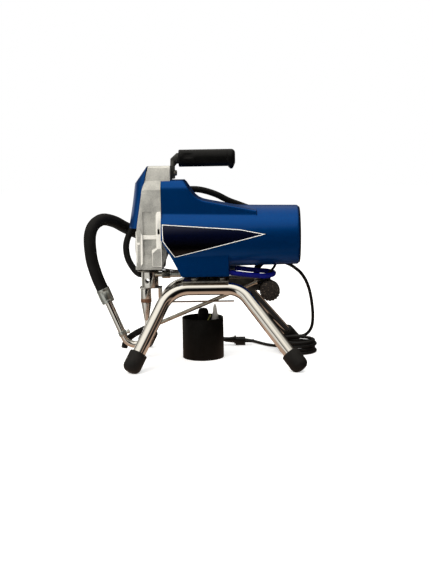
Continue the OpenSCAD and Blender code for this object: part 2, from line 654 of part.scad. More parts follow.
module motor_shroud() {
    blue() placed() difference() {
        union() {
            barrel(seam_x, barrel_end, 0);
            tower(0);
            side_view(skirt_side, 2 * skirt_half);
        }
        barrel(seam_x - 1, barrel_end + 1, cover_wall);
        tower(cover_wall);
        translate([-3, 0, 0]) tower(cover_wall);
        side_view(inset(skirt_side, cover_wall), 2 * (skirt_half - cover_wall));
        translate([0, 0, -3]) side_view(inset(skirt_side, cover_wall), 2 * (skirt_half - cover_wall));
        translate([-3, 0, 0]) side_view(inset(skirt_side, cover_wall), 2 * (skirt_half - cover_wall));
        // the casting's top block comes through the roof, the hoses through the skirt's rear wall
        block([seam_x - 1, -block_half - move_gap, 340], [strip_x[1] + 5, block_half + move_gap, 380]);
        block([skirt_rear - 5, -43, skirt_z - 1], [skirt_rear + 1, 32, 190]);
        front_cutaway();
        // holes for the cord gland and the switch cable
        rod(gland_ends[0] - [8, 1, -6], gland_ends[1], gland_r + move_gap);
        for (i = [0 : 1]) rod(switch_wire[i] + (i == 0 ? [4, 1.3, 8] : [0, 0, 0]), switch_wire[i + 1], wire_hole_r);
    }
}
module rear_grille() {
    r = barrel_r2 - cover_wall;
    black() placed() difference() {
        union() {
            disc_x([barrel_end - 12, barrel_end], r - run_fit, 0, motor_z);
            translate([barrel_end, 0, motor_z]) rotate([0, 90, 0]) rotate_extrude()
                polygon(concat([[0, 0]], arc([r - 2.5, 0], 2.5, 0, 90, 6), [[0, 2.5]]));
        }
        disc_x([barrel_end - 13, barrel_end + 2], r - 4, 0, motor_z);
        for (y = [-36 : 9 : 36]) let (h = sqrt(pow(r - 12, 2) - y * y))
            block([barrel_end, y - 2, motor_z - h], [barrel_end + 6, y + 2, motor_z + h]);
    }
}
// thin bare trim plate on the near side of the barrel
panel_side = [for (p = [[-102, 0.444], [-100, -0.079], [-77, -0.587], [94, 0.095], [43, 0.254]])
    [p[0], motor_z + p[1] * barrel_r1]];
panel_t = 0.6;
module side_panel() {
    black() placed() intersection() {
        difference() {
            barrel(seam_x + 1, barrel_end - 10, -panel_t);
            barrel(seam_x, barrel_end - 9, -0.05);
        }
        translate([0, -60, 0]) side_view(panel_side, 100);
    }
}

// ---- handle ----
grip_x = [-71, -71 + grip_len];
module handle_bar() {
    casting() placed() {
        difference() {
            block([strip_x[0], -16, 364], [strip_x[1], 16, housing_top]);
            for (y = [-handle_bolt_y, handle_bolt_y]) disc_x([strip_x[0] - 1, strip_x[1] + 1], 3 + run_fit, y, handle_bolt_z);
        }
        // the flat foot swells into the round bar through a bend
        hull() {
            block([strip_x[0], -16, housing_top - 1], [strip_x[1], 16, housing_top]);
            translate([-81, 0, grip_z - 5.5]) rotate([0, 35, 0]) cylinder(h = 1, r = 8, $fn = 32);
        }
        hull() {
            translate([-81, 0, grip_z - 5.5]) rotate([0, 35, 0]) cylinder(h = 1, r = 8, $fn = 32);
            disc_x([-75, -70.5], bar_d / 2, 0, grip_z, $fn = 32);
        }
        disc_x([-71, grip_x[1] - 12], bar_d / 2, 0, grip_z);
    }
}
module handle_grip() {
    r = grip_d / 2;
    rubber() placed() difference() {
        union() {
            disc_x([grip_x[0], grip_x[1] - 8], r, 0, grip_z);
            translate([grip_x[1] - 8, 0, grip_z]) rotate([0, 90, 0]) rotate_extrude()
                polygon(concat([[0, 0]], arc([r - 8, 0], 8, 0, 90, 8), [[0, 8]]));
            // hooked lip under the free end
            intersection() {
                side_view([for (p = [[-15, 0], [-3, 0], [-2, -14], [-4, -20.5], [-7, -22], [-9.5, -19.5], [-13, -15.5]])
                    [grip_x[1] + p[0], grip_z + p[1]]], 24);
                disc_x([grip_x[1] - 17, grip_x[1] + 3], r + 6, 0, grip_z);
            }
        }
        disc_x([grip_x[0] - 1, grip_x[1] - 12], bar_d / 2 + run_fit, 0, grip_z);
    }
}

// ---- pump ----
sleeve_r = sleeve_od / 2;
ram_r = ram_d / 2;
bore_r = ram_r + 0.4;
packing_r = 11;
module pump_sleeve() {
    steel() placed() difference() {
        translate([pump_x, 0, pump_sleeve_z[0]]) cylinder(h = pump_sleeve_z[1] - pump_sleeve_z[0], r = sleeve_r);
        translate([pump_x, 0, pump_sleeve_z[0] - 1]) cylinder(h = 80, r = bore_r);
        translate([pump_x, 0, 190]) cylinder(h = 20, r = packing_r + run_fit);
        disc_y([-30, 30], window_d / 2, window_x, window_z);
        disc_x([pump_x, -100], 3, outlet_y, outlet_z);
    }
}
module throat_packing() {
    color([0.85, 0.84, 0.78]) placed() difference() {
        translate([pump_x, 0, 190]) cylinder(h = 14, r = packing_r);
        translate([pump_x, 0, 189]) cylinder(h = 16, r = ram_r + run_fit);
        for (z = [193, 197, 201]) translate([pump_x, 0, z]) difference() {
            cylinder(h = 0.6, r = packing_r + 1);
            cylinder(h = 0.6, r = packing_r - 0.8);
        }
    }
}
arm_x = [-118, -111];
module pump_yoke() {
    steel() placed() {
        difference() {
            block([-155, -13, yoke_z], [arm_x[1], 13, pump_sleeve_z[0]]);
            translate([valve_x, 0, yoke_z - 1]) cylinder(h = 4, r = 6);
        }
        block([arm_x[0], -6, 112], [arm_x[1], 6, yoke_z]);
        // thin stay from the arm to the drain tube
        disc_x([arm_x[1], 34], 1.75, 0, 117.7);
    }
}
module foot_valve() {
    steel() placed() difference() {
        translate([valve_x, 0, ring_z[1]]) cylinder(h = yoke_z - ring_z[1], r = 10.75);
        translate([valve_x, 0, ring_z[1] - 1]) cylinder(h = 30, r = 6);
    }
}
module seat_ring() {
    color([0.62, 0.38, 0.24]) placed() difference() {
        translate([valve_x, 0, ring_z[0]]) cylinder(h = ring_z[1] - ring_z[0], r = 11);
        translate([valve_x, 0, ring_z[0] - 1]) cylinder(h = 10, r = 6);
    }
}
module inlet_cone() {
    steel() placed() difference() {
        translate([valve_x, 0, cone_z[0]]) cylinder(h = cone_z[1] - cone_z[0], r1 = 4.6, r2 = 10.5);
        translate([valve_x, 0, ball_seat_z]) cylinder(h = 20, r = ball_d / 2 + move_gap);
        translate([valve_x, 0, cone_z[0] - 1]) cylinder(h = 40, r = ball_seat_r);
    }
}
module inlet_ball() { color([0.8, 0.8, 0.82]) placed() translate([valve_x, 0, ball_rest_z]) sphere(r = ball_d / 2); }
module clear_stub() {
    color([0.88, 0.88, 0.84]) placed() difference() {
        translate([valve_x, 0, stub_z]) cylinder(h = cone_z[0] - stub_z, r = 4.6);
        translate([valve_x, 0, stub_z - 1]) cylinder(h = 40, r = ball_seat_r);
    }
}
suction_dir = [-sin(suction_slope), 0, cos(suction_slope)];
bend_at = [valve_x - suction_bend, 0, suction_bend_z];
slope_foot = bend_at + suction_bend * [-cos(suction_slope), 0, -sin(suction_slope)];
slope_len = (suction_top_z - slope_foot[2]) / cos(suction_slope);
ferrule_len = 30;
module suction_tube() {
    bend = [for (p = arc([bend_at[0], bend_at[2]], suction_bend, 180 + suction_slope, 360, 12)) [p[0], 0, p[1]]];
    chrome() placed() {
        pipe(concat([slope_foot + suction_dir * (slope_len + 12)], bend, [[valve_x, 0, riser_top]]),
            suction_tube_d / 2, suction_wall);
        // crimped collar that takes the clear stub
        translate([valve_x, 0, riser_top - 2]) difference() {
            cylinder(h = 6, r = suction_tube_d / 2 + 0.8);
            translate([0, 0, -1]) cylinder(h = 8, r = ball_seat_r);
        }
    }
}
stub_z = riser_top + 4;
ferrule_foot = slope_foot + suction_dir * slope_len;
ferrule_top = ferrule_foot + suction_dir * ferrule_len;
whip_x = [-93, -71];
module hose_ferrules() {
    color([0.70, 0.71, 0.70]) placed() {
        difference() {
            rod(ferrule_foot, ferrule_top, suction_d / 2 + 1.5);
            rod(ferrule_foot - suction_dir, ferrule_foot + suction_dir * 12.1, suction_tube_d / 2 + run_fit);
        }
        disc_x(whip_x, 6.5, outlet_y, outlet_z);
        disc_x([18, 36], 6.5, 24, 181);
    }
}
module suction_hose() {
    route = concat([ferrule_top, ferrule_top + suction_dir * 6], suction_route);
    rubber() placed() swept(laid(route, 2), suction_d / 2, 12);
}
strainer_at = [-34, 90, 226];
module strainer() {
    black() placed() {
        difference() {
            union() {
                disc_x([strainer_at[0], strainer_at[0] + 8], 15, strainer_at[1], strainer_at[2]);
                disc_x([strainer_at[0] + 8, strainer_at[0] + 40], 12, strainer_at[1], strainer_at[2]);
                for (k = [0 : 5]) disc_x([strainer_at[0] + 11 + 5.5 * k, strainer_at[0] + 13.5 + 5.5 * k], 15.5,
                    strainer_at[1], strainer_at[2]);
                // saddle clip on the shroud
                block([strainer_at[0] + 1, 50, strainer_at[2] - 8], [strainer_at[0] + 7, 80, strainer_at[2] + 8]);
            }
            barrel(seam_x, barrel_end, -0.02);
            disc_x([strainer_at[0] + 4, strainer_at[0] + 60], 9, strainer_at[1], strainer_at[2]);
        }
    }
}
module steel_fittings() {
    brass() placed() {
        // lock nut under the housing's flange
        difference() {
            translate([pump_x, 0, 180]) cylinder(h = flange_z - 180, r = 22, $fn = 6);
            translate([pump_x, 0, 179]) cylinder(h = 12, r = sleeve_r + run_fit);
        }
        // outlet stub and nut on the pump, elbow on the manifold
        difference() {
            disc_x([-126, -109], 5, outlet_y, outlet_z);
            translate([pump_x, 0, 160]) cylinder(h = 20, r = sleeve_r);
        }
        disc_x([-109, whip_x[0]], 8.4, outlet_y, outlet_z, $fn = 6);
        translate([elbow_at[0], elbow_at[1], plate_z]) cylinder(h = 181 - plate_z, r = 7);
        translate([elbow_at[0], elbow_at[1], 181]) sphere(r = 8);
        disc_x([elbow_at[0], 18], 6, elbow_at[1], 181);
        // barb for the return hose on the sleeve's far side
        difference() {
            rod([-146, 11.5, 172], [-153.6, 19.1, 172], 4);
            translate([pump_x, 0, 160]) cylinder(h = 19, r = sleeve_r);
        }
    }
}
module whip_hose() { color([0.03, 0.08, 0.55]) placed() swept(laid(whip_route, 2), whip_d / 2, 10); }
module return_hose() { rubber() placed() swept(laid(return_route, 2), return_d / 2, 10); }
module drain_tube() {
    steel() placed() {
        rod(drain_tube_ends[0], drain_tube_ends[1], drain_d / 2);
        translate(drain_tube_ends[1]) sphere(r = drain_d / 2 + 1.2);
        disc_y([5.8, 11], drain_d / 2, drain_tube_ends[1][0], drain_tube_ends[1][2]);
        disc_y([8, 11], 7, drain_tube_ends[1][0], drain_tube_ends[1][2], $fn = 6);
    }
}
module drain_hose() {
    rubber() placed() {
        swept(laid(drain_route, 3), return_d / 2, 10);
        // clip that holds it to the suction tube
        translate(slope_foot + suction_dir * 4) rotate([0, -suction_slope, 0]) difference() {
            union() {
                cylinder(h = 10, r = suction_tube_d / 2 + 2.5);
                block([-3, 8, 1], [5, 14, 9]);
            }
            translate([0, 0, -1]) cylinder(h = 12, r = suction_tube_d / 2 + run_fit);
        }
    }
}

// ---- manifold, pressure switch, prime valve ----
nipple_at = [88, 22, 156.05];
nipple_r = 6.6;
nipple_len = 20;
module manifold() {
    casting() placed() difference() {
        union() {
            block(manifold_box[0], manifold_box[1]);
            disc_x([nipple_at[0], nipple_at[0] + nipple_len], nipple_r, nipple_at[1], nipple_at[2]);
        }
        disc_x([nipple_at[0] - 20, nipple_at[0] + nipple_len + 1], 3, nipple_at[1], nipple_at[2]);
    }
}
module pressure_switch() {
    black() placed() difference() {
        union() {
            disc_y([switch_at[1], 10], switch_r, switch_at[0], switch_at[2]);
            block([manifold_box[1][0], 0, 128], [102, 20, 142]);
        }
        disc_y([switch_at[1] - 1, 3], 3 + run_fit, knob_at[0], knob_at[2]);
    }
}
module pressure_knob() {
    black() placed() {
        difference() {
            disc_y([knob_at[1], knob_at[1] + knob_t], knob_d / 2, knob_at[0], knob_at[2]);
            for (a = [0 : 20 : 340]) translate([knob_at[0], knob_at[1] - 1, knob_at[2]]) rotate([0, a, 0])
                translate([knob_d / 2 + 0.6, 0, 0]) rotate([-90, 0, 0]) cylinder(h = knob_t - 3, r = 1.8);
        }
        disc_y([knob_at[1] + knob_t, 2], 3, knob_at[0], knob_at[2]);
    }
}
module prime_valve() {
    brass() placed() {
        disc_y([valve_at[1], valve_at[1] + valve_len], valve_r, valve_at[0], valve_at[2]);
        translate([valve_at[0], 43, valve_at[2]]) cylinder(h = 12, r = 4.5);
        disc_y([valve_at[1] + valve_len - 1, valve_at[1] + valve_len + 10], 3, valve_at[0], valve_at[2]);
    }
}
module prime_lever() {
    color([0.55, 0.08, 0.06]) placed() difference() {
        union() {
            disc_y([valve_at[1] + valve_len + move_gap, valve_at[1] + valve_len + 12], 8, valve_at[0], valve_at[2]);
            block([valve_at[0], valve_at[1] + valve_len + 4, valve_at[2] - 5],
                [valve_at[0] + lever_len, valve_at[1] + valve_len + 11, valve_at[2] + 5]);
        }
        disc_y([valve_at[1] + valve_len - 1, valve_at[1] + valve_len + 10 + move_gap], 3 + run_fit, valve_at[0], valve_at[2]);
    }
}

// ---- controls on the far side ----
module control_box() {
    black() placed() difference() {
        block([box_x[0], 40, box_z[0]], [box_x[1], box_face_y, box_z[1]]);
        barrel(seam_x, barrel_end, -0.02);
        difference() {
            block([box_x[0] + cover_wall, 30, box_z[0] + cover_wall], [box_x[1] - cover_wall, box_face_y - cover_wall,
                box_z[1] - cover_wall]);
            disc_x([rocker_at[0] - 10, rocker_at[0] + 10], rocker_r + 2.5, rocker_at[1], rocker_at[2]);
        }
        disc_x([rocker_at[0] - rocker_w / 2 - move_gap, rocker_at[0] + rocker_w / 2 + move_gap], rocker_r + move_gap,
            rocker_at[1], rocker_at[2]);
        disc_x([rocker_at[0] - 9, rocker_at[0] + 9], 2 + run_fit, rocker_at[1], rocker_at[2]);
    }
}
module control_board() {
    color([0.05, 0.30, 0.15]) placed() {
        block([box_x[0] + cover_wall, board_y, box_z[0] + 5], [box_x[0] + 36, board_y + 1.6, box_z[1] - 5]);
        block([box_x[0] + 6, board_y + 1.6, box_z[0] + 10], [box_x[0] + 20, board_y + 8, box_z[0] + 22]);
        translate([box_x[0] + 28, board_y + 5, box_z[0] + 12]) cylinder(h = 20, r = 3.4);
    }
}
module power_rocker() {
    color([0.75, 0.07, 0.05]) placed() translate([rocker_at[0], rocker_at[1], rocker_at[2]]) rotate([-rocker_tilt, 0, 0]) {
        front_view([[-5, -7], [7, -8.8], [5.6, 0], [7, 8.8], [-5, 7]], [-rocker_w / 2, rocker_w / 2]);
        disc_x([-rocker_w / 2 - 2, rocker_w / 2 + 2], 2);
    }
}
module wiring() {
    black() placed() {
        swept(laid(switch_wire, 2), 2.5, 8);
        swept(laid(sensor_wire, 2), 1.4, 8);
    }
}

// ---- mains cord ----
gland_ends = [[135, 18.2, 197], [149.9, 19.99, 186.1]];
gland_r = 7;
module cord_gland() {
    rubber() placed() rod(gland_ends[0], gland_ends[1], gland_r, 4.4);
}
module power_cord() { rubber() placed() swept(laid(cord_route, 3), cord_d / 2, 8); }
module cord_tail() { rubber() placed() swept(laid(tail_route, 3), cord_d / 2, 8); }
// Piled loops: the radius runs in and out at a steady rate, a layer is climbed in each half
// turn about a reversal, and both ends leave straight, in line with the last turn.
layer_deg = 360 * coil_turns;
coil_deg = layer_deg * coil_layers;
function coil_radius(a) = let (u = (a / layer_deg) % 2) coil_in_r + coil_pitch * coil_turns * abs(1 - u);
function coil_height(a) = coil_z + coil_rise * sum_of([for (k = [1 : coil_layers - 1])
    let (t = (a - k * layer_deg) / 180 + 0.5) ease(max(0, min(1, t)))], 0);
function sum_of(v, i) = i < len(v) ? v[i] + sum_of(v, i + 1) : 0;
function coil_point(a) = [coil_at[0] + coil_radius(a) * cos(90 - a),
    coil_at[1] + coil_radius(a) * sin(90 - a), coil_height(a)];
coil_middle = [for (a = [0 : coil_step : coil_deg]) coil_point(a)];
coil_path = concat([coil_middle[0] - [cord_d, 0, 0]], coil_middle, [coil_middle[len(coil_middle) - 1] + [cord_d, 0, 0]]);
turn_steps = 360 / coil_step;
echo(coil_gap = min([for (i = [0 : len(coil_middle) - 1], j = [i + turn_steps / 2 : len(coil_middle) - 1])
    norm(coil_middle[i] - coil_middle[j])]) - cord_d);
module cord_coil() { rubber() placed() swept(coil_path, cord_d / 2, 6); }
module cord_plug() {
    rubber() placed() on_floor() {
        rod([10, 135, 11], plug_at, 4.4, 7);
        translate(plug_at) rotate([0, 90, 0]) cylinder(h = 4, r = 9);
        hull() for (y = [-6, 6], z = [0, 5.5]) disc_x([34, 55], 5.5, plug_at[1] + y, 5.2 + z, $fn = 32);
        for (y = [-9.5, 9.5]) disc_x([55, 74], 2.4, plug_at[1] + y * 0.55, 8);
    }
}

// ---- moving parts ----
function gear_shape(teeth, m, turn) = let (r = m * teeth / 2, tip = r + 0.85 * m, root = r - 1.15 * m, p = 360 / teeth)
    [for (k = [0 : teeth - 1], q = [[root, -0.30], [tip, -0.10], [tip, 0.10], [root, 0.30]])
        let (a = turn + (k + q[1]) * p) [q[0] * cos(a), q[0] * sin(a)]];
module gear_x(x, z, teeth, m, turn) {
    translate([x[0], 0, z]) rotate([90, 0, 90]) linear_extrude(x[1] - x[0]) polygon(gear_shape(teeth, m, turn));
}
pinion_x = [rear_gears[0] - 0.5, rear_gears[1] + 0.5];
module rotor() {
    steel() placed() {
        gear_x(pinion_x, motor_z, pinion_teeth, module_1, 90);
        disc_x([pinion_x[1], fan_x[1] + 2], shaft_r, 0, motor_z);
        disc_x([can_x[0] + 26, commutator_x[0] - 12], magnet_r[0] - 1, 0, motor_z);
        disc_x(commutator_x, commutator_r, 0, motor_z);
        difference() {
            union() {
                disc_x([fan_x[0], fan_x[0] + 2], 44, 0, motor_z);
                disc_x(fan_x, 14, 0, motor_z);
                for (a = [0 : 40 : 320]) translate([0, 0, motor_z]) rotate([a, 0, 0])
                    block([fan_x[0], -1, 12], [fan_x[1], 1, 43]);
            }
            disc_x([fan_x[0] - 1, fan_x[1] + 1], shaft_r, 0, motor_z);
        }
    }
}
module cluster_gear() {
    steel() placed() {
        gear_x(rear_gears, cluster_z, cluster_teeth, module_1, -90 + 180 / cluster_teeth);
        gear_x(front_gears, cluster_z, small_teeth, module_2, 90);
        disc_x([seam_x - 6.5, case_wall[0] + 5.5], spindle_r, 0, cluster_z);
    }
}
crank_disc = [chamber_rear - 7.5, chamber_rear - 0.5];
rod_x = [pump_x - rod_half_t, pump_x + rod_half_t];
module crankshaft() {
    steel() placed() {
        disc_x([rod_x[0] - 2, crank_disc[0]], pin_d / 2, 0, crank_pin_z);
        disc_x(crank_disc, crank_throw + pin_d / 2 + 3, 0, crank_z);
        disc_x([crank_disc[1], front_gears[0]], journal_r, 0, crank_z);
        gear_x(front_gears, crank_z, crank_teeth, module_2, -90 + 180 / crank_teeth);
        disc_x([front_gears[1], case_wall[0] + 5.5], tail_r, 0, crank_z);
    }
}
fork_x = [pump_x - head_half_t - move_gap - ear_t, pump_x + head_half_t + move_gap + ear_t];
slot_top = wrist_z + head_half_h + 2 * crank_throw + 2;
module connecting_rod() {
    casting() placed() difference() {
        union() {
            disc_x(rod_x, pin_d / 2 + 8.5, 0, crank_pin_z);
            block([pump_x - 6, -9, slot_top], [pump_x + 6, 9, crank_pin_z]);
            block([fork_x[0], -ear_r, slot_top], [fork_x[1], ear_r, slot_top + 8]);
            for (x = [[fork_x[0], fork_x[0] + ear_t], [fork_x[1] - ear_t, fork_x[1]]]) {
                block([x[0], -ear_r, wrist_z], [x[1], ear_r, slot_top + 1]);
                disc_x(x, ear_r, 0, wrist_z);
            }
        }
        disc_x([-200, -100], pin_d / 2 + run_fit, 0, crank_pin_z);
        disc_x([-200, -100], 5 + run_fit, 0, wrist_z);
    }
}
ram_end_z = 172;
module pump_rod() {
    chrome() placed() {
        translate([pump_x, 0, ram_end_z]) cylinder(h = wrist_z - ram_end_z, r = ram_r);
        block([pump_x - head_half_t, -9, wrist_z - head_half_h], [pump_x + head_half_t, 9, wrist_z + head_half_h]);
    }
}

// ---- cup of spare pieces ----
module cup() {
    black() placed() translate([cup_at[0], cup_at[1], 0]) difference() {
        cylinder(h = cup_h, r = cup_d / 2);
        translate([0, 0, cup_wall]) cylinder(h = cup_h, r = cup_d / 2 - cup_wall);
    }
}
module cup_contents() {
    color([0.80, 0.78, 0.74]) placed() translate([cup_at[0], cup_at[1], cup_wall]) {
        translate([25, 6, 0]) { cylinder(h = 62, r = 11); translate([0, 0, 62]) cylinder(h = 43, r1 = 9, r2 = 2.6); }
        translate([1, 4, 0]) { cylinder(h = 90, r = 11); translate([0, 0, 90]) cylinder(h = 8, r1 = 11, r2 = 7); }
        rod([6, -21, 0.4], [15, -14, 92], 3);
        translate([-20, 2, 0]) cylinder(h = 70, r = 9);
    }
}

stand_tube_near();
stand_tube_far();
foot_front_near();
foot_front_far();
foot_rear_near();
foot_rear_far();
mount_plate();
fasteners();
isolators();
motor_cradle();
gear_housing();
front_cover();
gear_case();
ball_bearings();
motor_can();
field_magnets();
brush_end_bell();
motor_shroud();
rear_grille();
side_panel();
handle_bar();
handle_grip();
pump_sleeve();
throat_packing();
pump_yoke();
foot_valve();
seat_ring();
inlet_cone();
inlet_ball();
clear_stub();
suction_tube();
hose_ferrules();
suction_hose();
strainer();
steel_fittings();
whip_hose();
return_hose();
drain_tube();
drain_hose();
manifold();
pressure_switch();
prime_valve();
prime_lever();
control_box();
control_board();
power_rocker();
wiring();
cord_gland();
power_cord();
cord_coil();
cord_tail();
cord_plug();
rotor();
cluster_gear();
crankshaft();
connecting_rod();
pump_rod();
pressure_knob();
cup();
cup_contents();
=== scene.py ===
"""Airless paint sprayer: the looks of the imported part. Metres, in the part's own frame, +Z up."""
import json
import math

import bmesh
import bpy
import numpy as np
from mathutils import Matrix, Vector

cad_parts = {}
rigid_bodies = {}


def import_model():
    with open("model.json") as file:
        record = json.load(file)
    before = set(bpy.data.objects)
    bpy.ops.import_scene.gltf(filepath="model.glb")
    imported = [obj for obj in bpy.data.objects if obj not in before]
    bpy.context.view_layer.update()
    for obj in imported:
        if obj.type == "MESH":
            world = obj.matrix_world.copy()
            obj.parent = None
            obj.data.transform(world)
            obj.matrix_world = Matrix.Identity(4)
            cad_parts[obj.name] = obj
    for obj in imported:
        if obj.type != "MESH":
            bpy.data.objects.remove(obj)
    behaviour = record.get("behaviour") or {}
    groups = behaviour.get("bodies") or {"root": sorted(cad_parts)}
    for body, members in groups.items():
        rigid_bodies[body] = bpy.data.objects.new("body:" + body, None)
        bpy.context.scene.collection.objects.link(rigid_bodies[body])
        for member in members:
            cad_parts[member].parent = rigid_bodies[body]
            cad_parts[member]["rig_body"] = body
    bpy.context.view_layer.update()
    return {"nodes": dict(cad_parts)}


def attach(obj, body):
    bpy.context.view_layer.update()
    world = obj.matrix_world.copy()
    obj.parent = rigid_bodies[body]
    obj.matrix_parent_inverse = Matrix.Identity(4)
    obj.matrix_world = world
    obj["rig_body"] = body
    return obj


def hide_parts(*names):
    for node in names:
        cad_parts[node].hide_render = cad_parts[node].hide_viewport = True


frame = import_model()
nodes = frame["nodes"]

# ---- camera -------------------------------------------------------------------------------
# It stands as high as the grip, 1.8 m in front of the machine, and looks 8 degrees down. Lengths
# in this file are in millimetres from the middle of the stand, as in the CAD source, and
# to_frame() moves them into the part's frame.
MACHINE_X = 45.6


def to_frame(points):
    """Millimetres from the stand's middle to metres in the part's frame."""
    return (np.asarray(points, float) + [MACHINE_X, 0, 0]) * 0.001


camera_at = [57.5, -1823.2, 411.3]
pitch, yaw, roll = np.radians([8.353, -1.846, 1.042])
forward = np.array([np.sin(yaw) * np.cos(pitch), np.cos(yaw) * np.cos(pitch), -np.sin(pitch)])
level = np.array([np.cos(yaw), -np.sin(yaw), 0])
upright = np.cross(level, forward)
right = np.cos(roll) * level - np.sin(roll) * upright
up = np.sin(roll) * level + np.cos(roll) * upright
camera = bpy.data.objects.new("camera", bpy.data.cameras.new("camera"))
camera.data.sensor_fit = "VERTICAL"
camera.data.sensor_height = 24
camera.data.lens = 38.21
camera.data.clip_end = 50
turned = Matrix(np.column_stack([right, up, -forward]).tolist()).to_4x4()
camera.matrix_world = Matrix.Translation(to_frame(camera_at).tolist()) @ turned
bpy.context.scene.collection.objects.link(camera)
bpy.context.scene.camera = camera
bpy.context.scene.view_settings.view_transform = "Standard"

# ---- mains cord ---------------------------------------------------------------------------
# Black PVC flex, 6.6 mm: out of the strain relief under the motor, down behind the rear leg,
# wound flat on the floor, and on behind the cup to its plug.


def through(points, steps):
    """Catmull-Rom curve through the inner points; the first and the last run stay straight."""
    p = np.asarray(points, float)
    q = np.vstack([p[1], p[1:-1], p[-2]])
    t = np.linspace(0, 1, steps, endpoint=False)[None, :, None]
    a, b, c, d = (q[i:len(q) - 3 + i, None, :] for i in range(4))
    run = 0.5 * (2 * b + (c - a) * t + (2 * a - 5 * b + 4 * c - d) * t**2 + (3 * b - a - 3 * c + d) * t**3)
    return np.vstack([p[0], run.reshape(-1, 3), p[-2], p[-1]])


def linear(code):
    """An sRGB hex colour as the linear RGBA that the shaders use."""
    c = np.array([int(code[i:i + 2], 16) for i in (1, 3, 5)]) / 255
    return (*np.where(c <= 0.04045, c / 12.92, ((c + 0.055) / 1.055)**2.4).tolist(), 1.0)


def add(tree, kind, inputs=None, stops=None, **settings):
    """A node with its settings, its inputs set or linked, and a ramp's stops. A node given as an
    input stands for its first output, and a hex code for its colour."""
    made = tree.nodes.new(kind)
    for key, value in settings.items():
        setattr(made, key, value)
    for key, value in (inputs or {}).items():
        if isinstance(value, bpy.types.Node):
            value = value.outputs[0]
        if isinstance(value, bpy.types.NodeSocket):
            tree.links.new(value, made.inputs[key])
        else:
            made.inputs[key].default_value = linear(value) if isinstance(value, str) else value
    for i, (at, colour) in enumerate(stops or []):
        if i > 1:
            made.color_ramp.elements.new(at)
        made.color_ramp.elements[i].position = at
        made.color_ramp.elements[i].color = linear(colour)
    return made


def finish_named(name):
    """A new material, its tree emptied, and its Object coordinates."""
    material = bpy.data.materials.new(name)
    material.use_nodes = True
    material.node_tree.nodes.clear()
    return material, material.node_tree, add(material.node_tree, "ShaderNodeTexCoord").outputs["Object"]


def surface(tree, inputs):
    """A Principled surface with these inputs, joined to the material's output."""
    add(tree, "ShaderNodeOutputMaterial", {"Surface": add(tree, "ShaderNodeBsdfPrincipled", inputs)})


def mottled(name, noise, stops, finish, relief=None, grain=None):
    """A finish whose colour is a ramp over a noise; relief is a bump's strength and its depth in
    metres over the same noise or over a grain of its own."""
    material, tree, place = finish_named(name)
    pattern = add(tree, "ShaderNodeTexNoise", {"Vector": place, **noise})
    inputs = {"Base Color": add(tree, "ShaderNodeValToRGB", {0: pattern}, stops=stops), **finish}
    if grain:
        pattern = add(tree, "ShaderNodeTexNoise", {"Vector": place, **grain})
    if relief:
        inputs["Normal"] = add(tree, "ShaderNodeBump",
                               {"Height": pattern, "Strength": relief[0], "Distance": relief[1]})
    surface(tree, inputs)
    return material


# extruded PVC, satin, with faint waves along it
cord_pvc = mottled("cord_pvc", {"Scale": 220.0, "Detail": 3.0}, [(0.3, "#070706"), (0.75, "#11100F")],
                   {"Roughness": 0.42, "Specular IOR Level": 0.35}, (0.12, 0.0004))

cord_d = 6.6
cord_route = [
    [150, 20, 186], [156.2, 20.8, 181.4], [162.6, 23.2, 176.2], [168.8, 28.4, 170], [174.6, 36, 161.8],
    [181, 44, 150.6], [187.4, 50.4, 133.5], [192, 56.4, 113.5], [194.8, 63.2, 94.5], [196.4, 70.5, 79.5],
    [197, 78, 66.5], [196.6, 85.4, 54.6], [195, 91.2, 45], [191.8, 95.2, 37.4], [187.2, 97.1, 31.4],
    [181.6, 97.5, 27.4], [175.6, 97.5, 25.3], [169.6, 97.5, 24.7]]
tail_route = [
    [156.4, 97.5, 3.4], [148, 97.5, 3.4], [134, 98, 3.4], [118, 103, 3.4], [103, 114, 3.4],
    [89, 131, 3.4], [76, 149, 3.4], [60, 166, 3.4], [40, 178, 3.4], [16, 184.8, 3.4],
    [1, 186.9, 3.4], [-13, 186.4, 3.4], [-25.6, 182, 3.4], [-35.4, 173.6, 3.4], [-41, 162, 3.4],
    [-41.2, 149.4, 3.4], [-36, 138.4, 3.6], [-26.4, 131.2, 4.8], [-14.6, 129.2, 7.2], [-4, 131.2, 9.6],
    [3.4, 133.6, 10.9], [10, 135, 11]]
coil_middle, coil_inside, coil_pitch, coil_turns, coil_layers = [163, 58], 28.5, 7.3, 1.5, 4
coil_foot, coil_rise = 3.4, 7.1


def ease(v, a, b):
    """0 up to a and 1 from b on, with a smooth step between."""
    share = np.clip((v - a) / (b - a), 0, 1)
    return share**2 * (3 - 2 * share)


def coil(step):
    """Loops whose radius runs in and out at a steady rate, a layer higher after each reversal."""
    layer = 360 * coil_turns
    a = np.arange(0, layer * coil_layers + step / 2, step)
    r = coil_inside + coil_pitch * coil_turns * np.abs(1 - (a / layer) % 2)
    z = coil_foot + coil_rise * ease(a[:, None] - layer * np.arange(1, coil_layers), -90, 90).sum(1)
    turn = np.radians(90 - a)
    return np.column_stack([coil_middle[0] + r * np.cos(turn), coil_middle[1] + r * np.sin(turn), z])


def placed(name, data, body="frame", node=None):
    """A piece that rides on a body and stands for a CAD node, which it hides."""
    piece = bpy.data.objects.new(name, data)
    bpy.context.scene.collection.objects.link(piece)
    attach(piece, body)
    if node:
        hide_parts(node)
    return piece


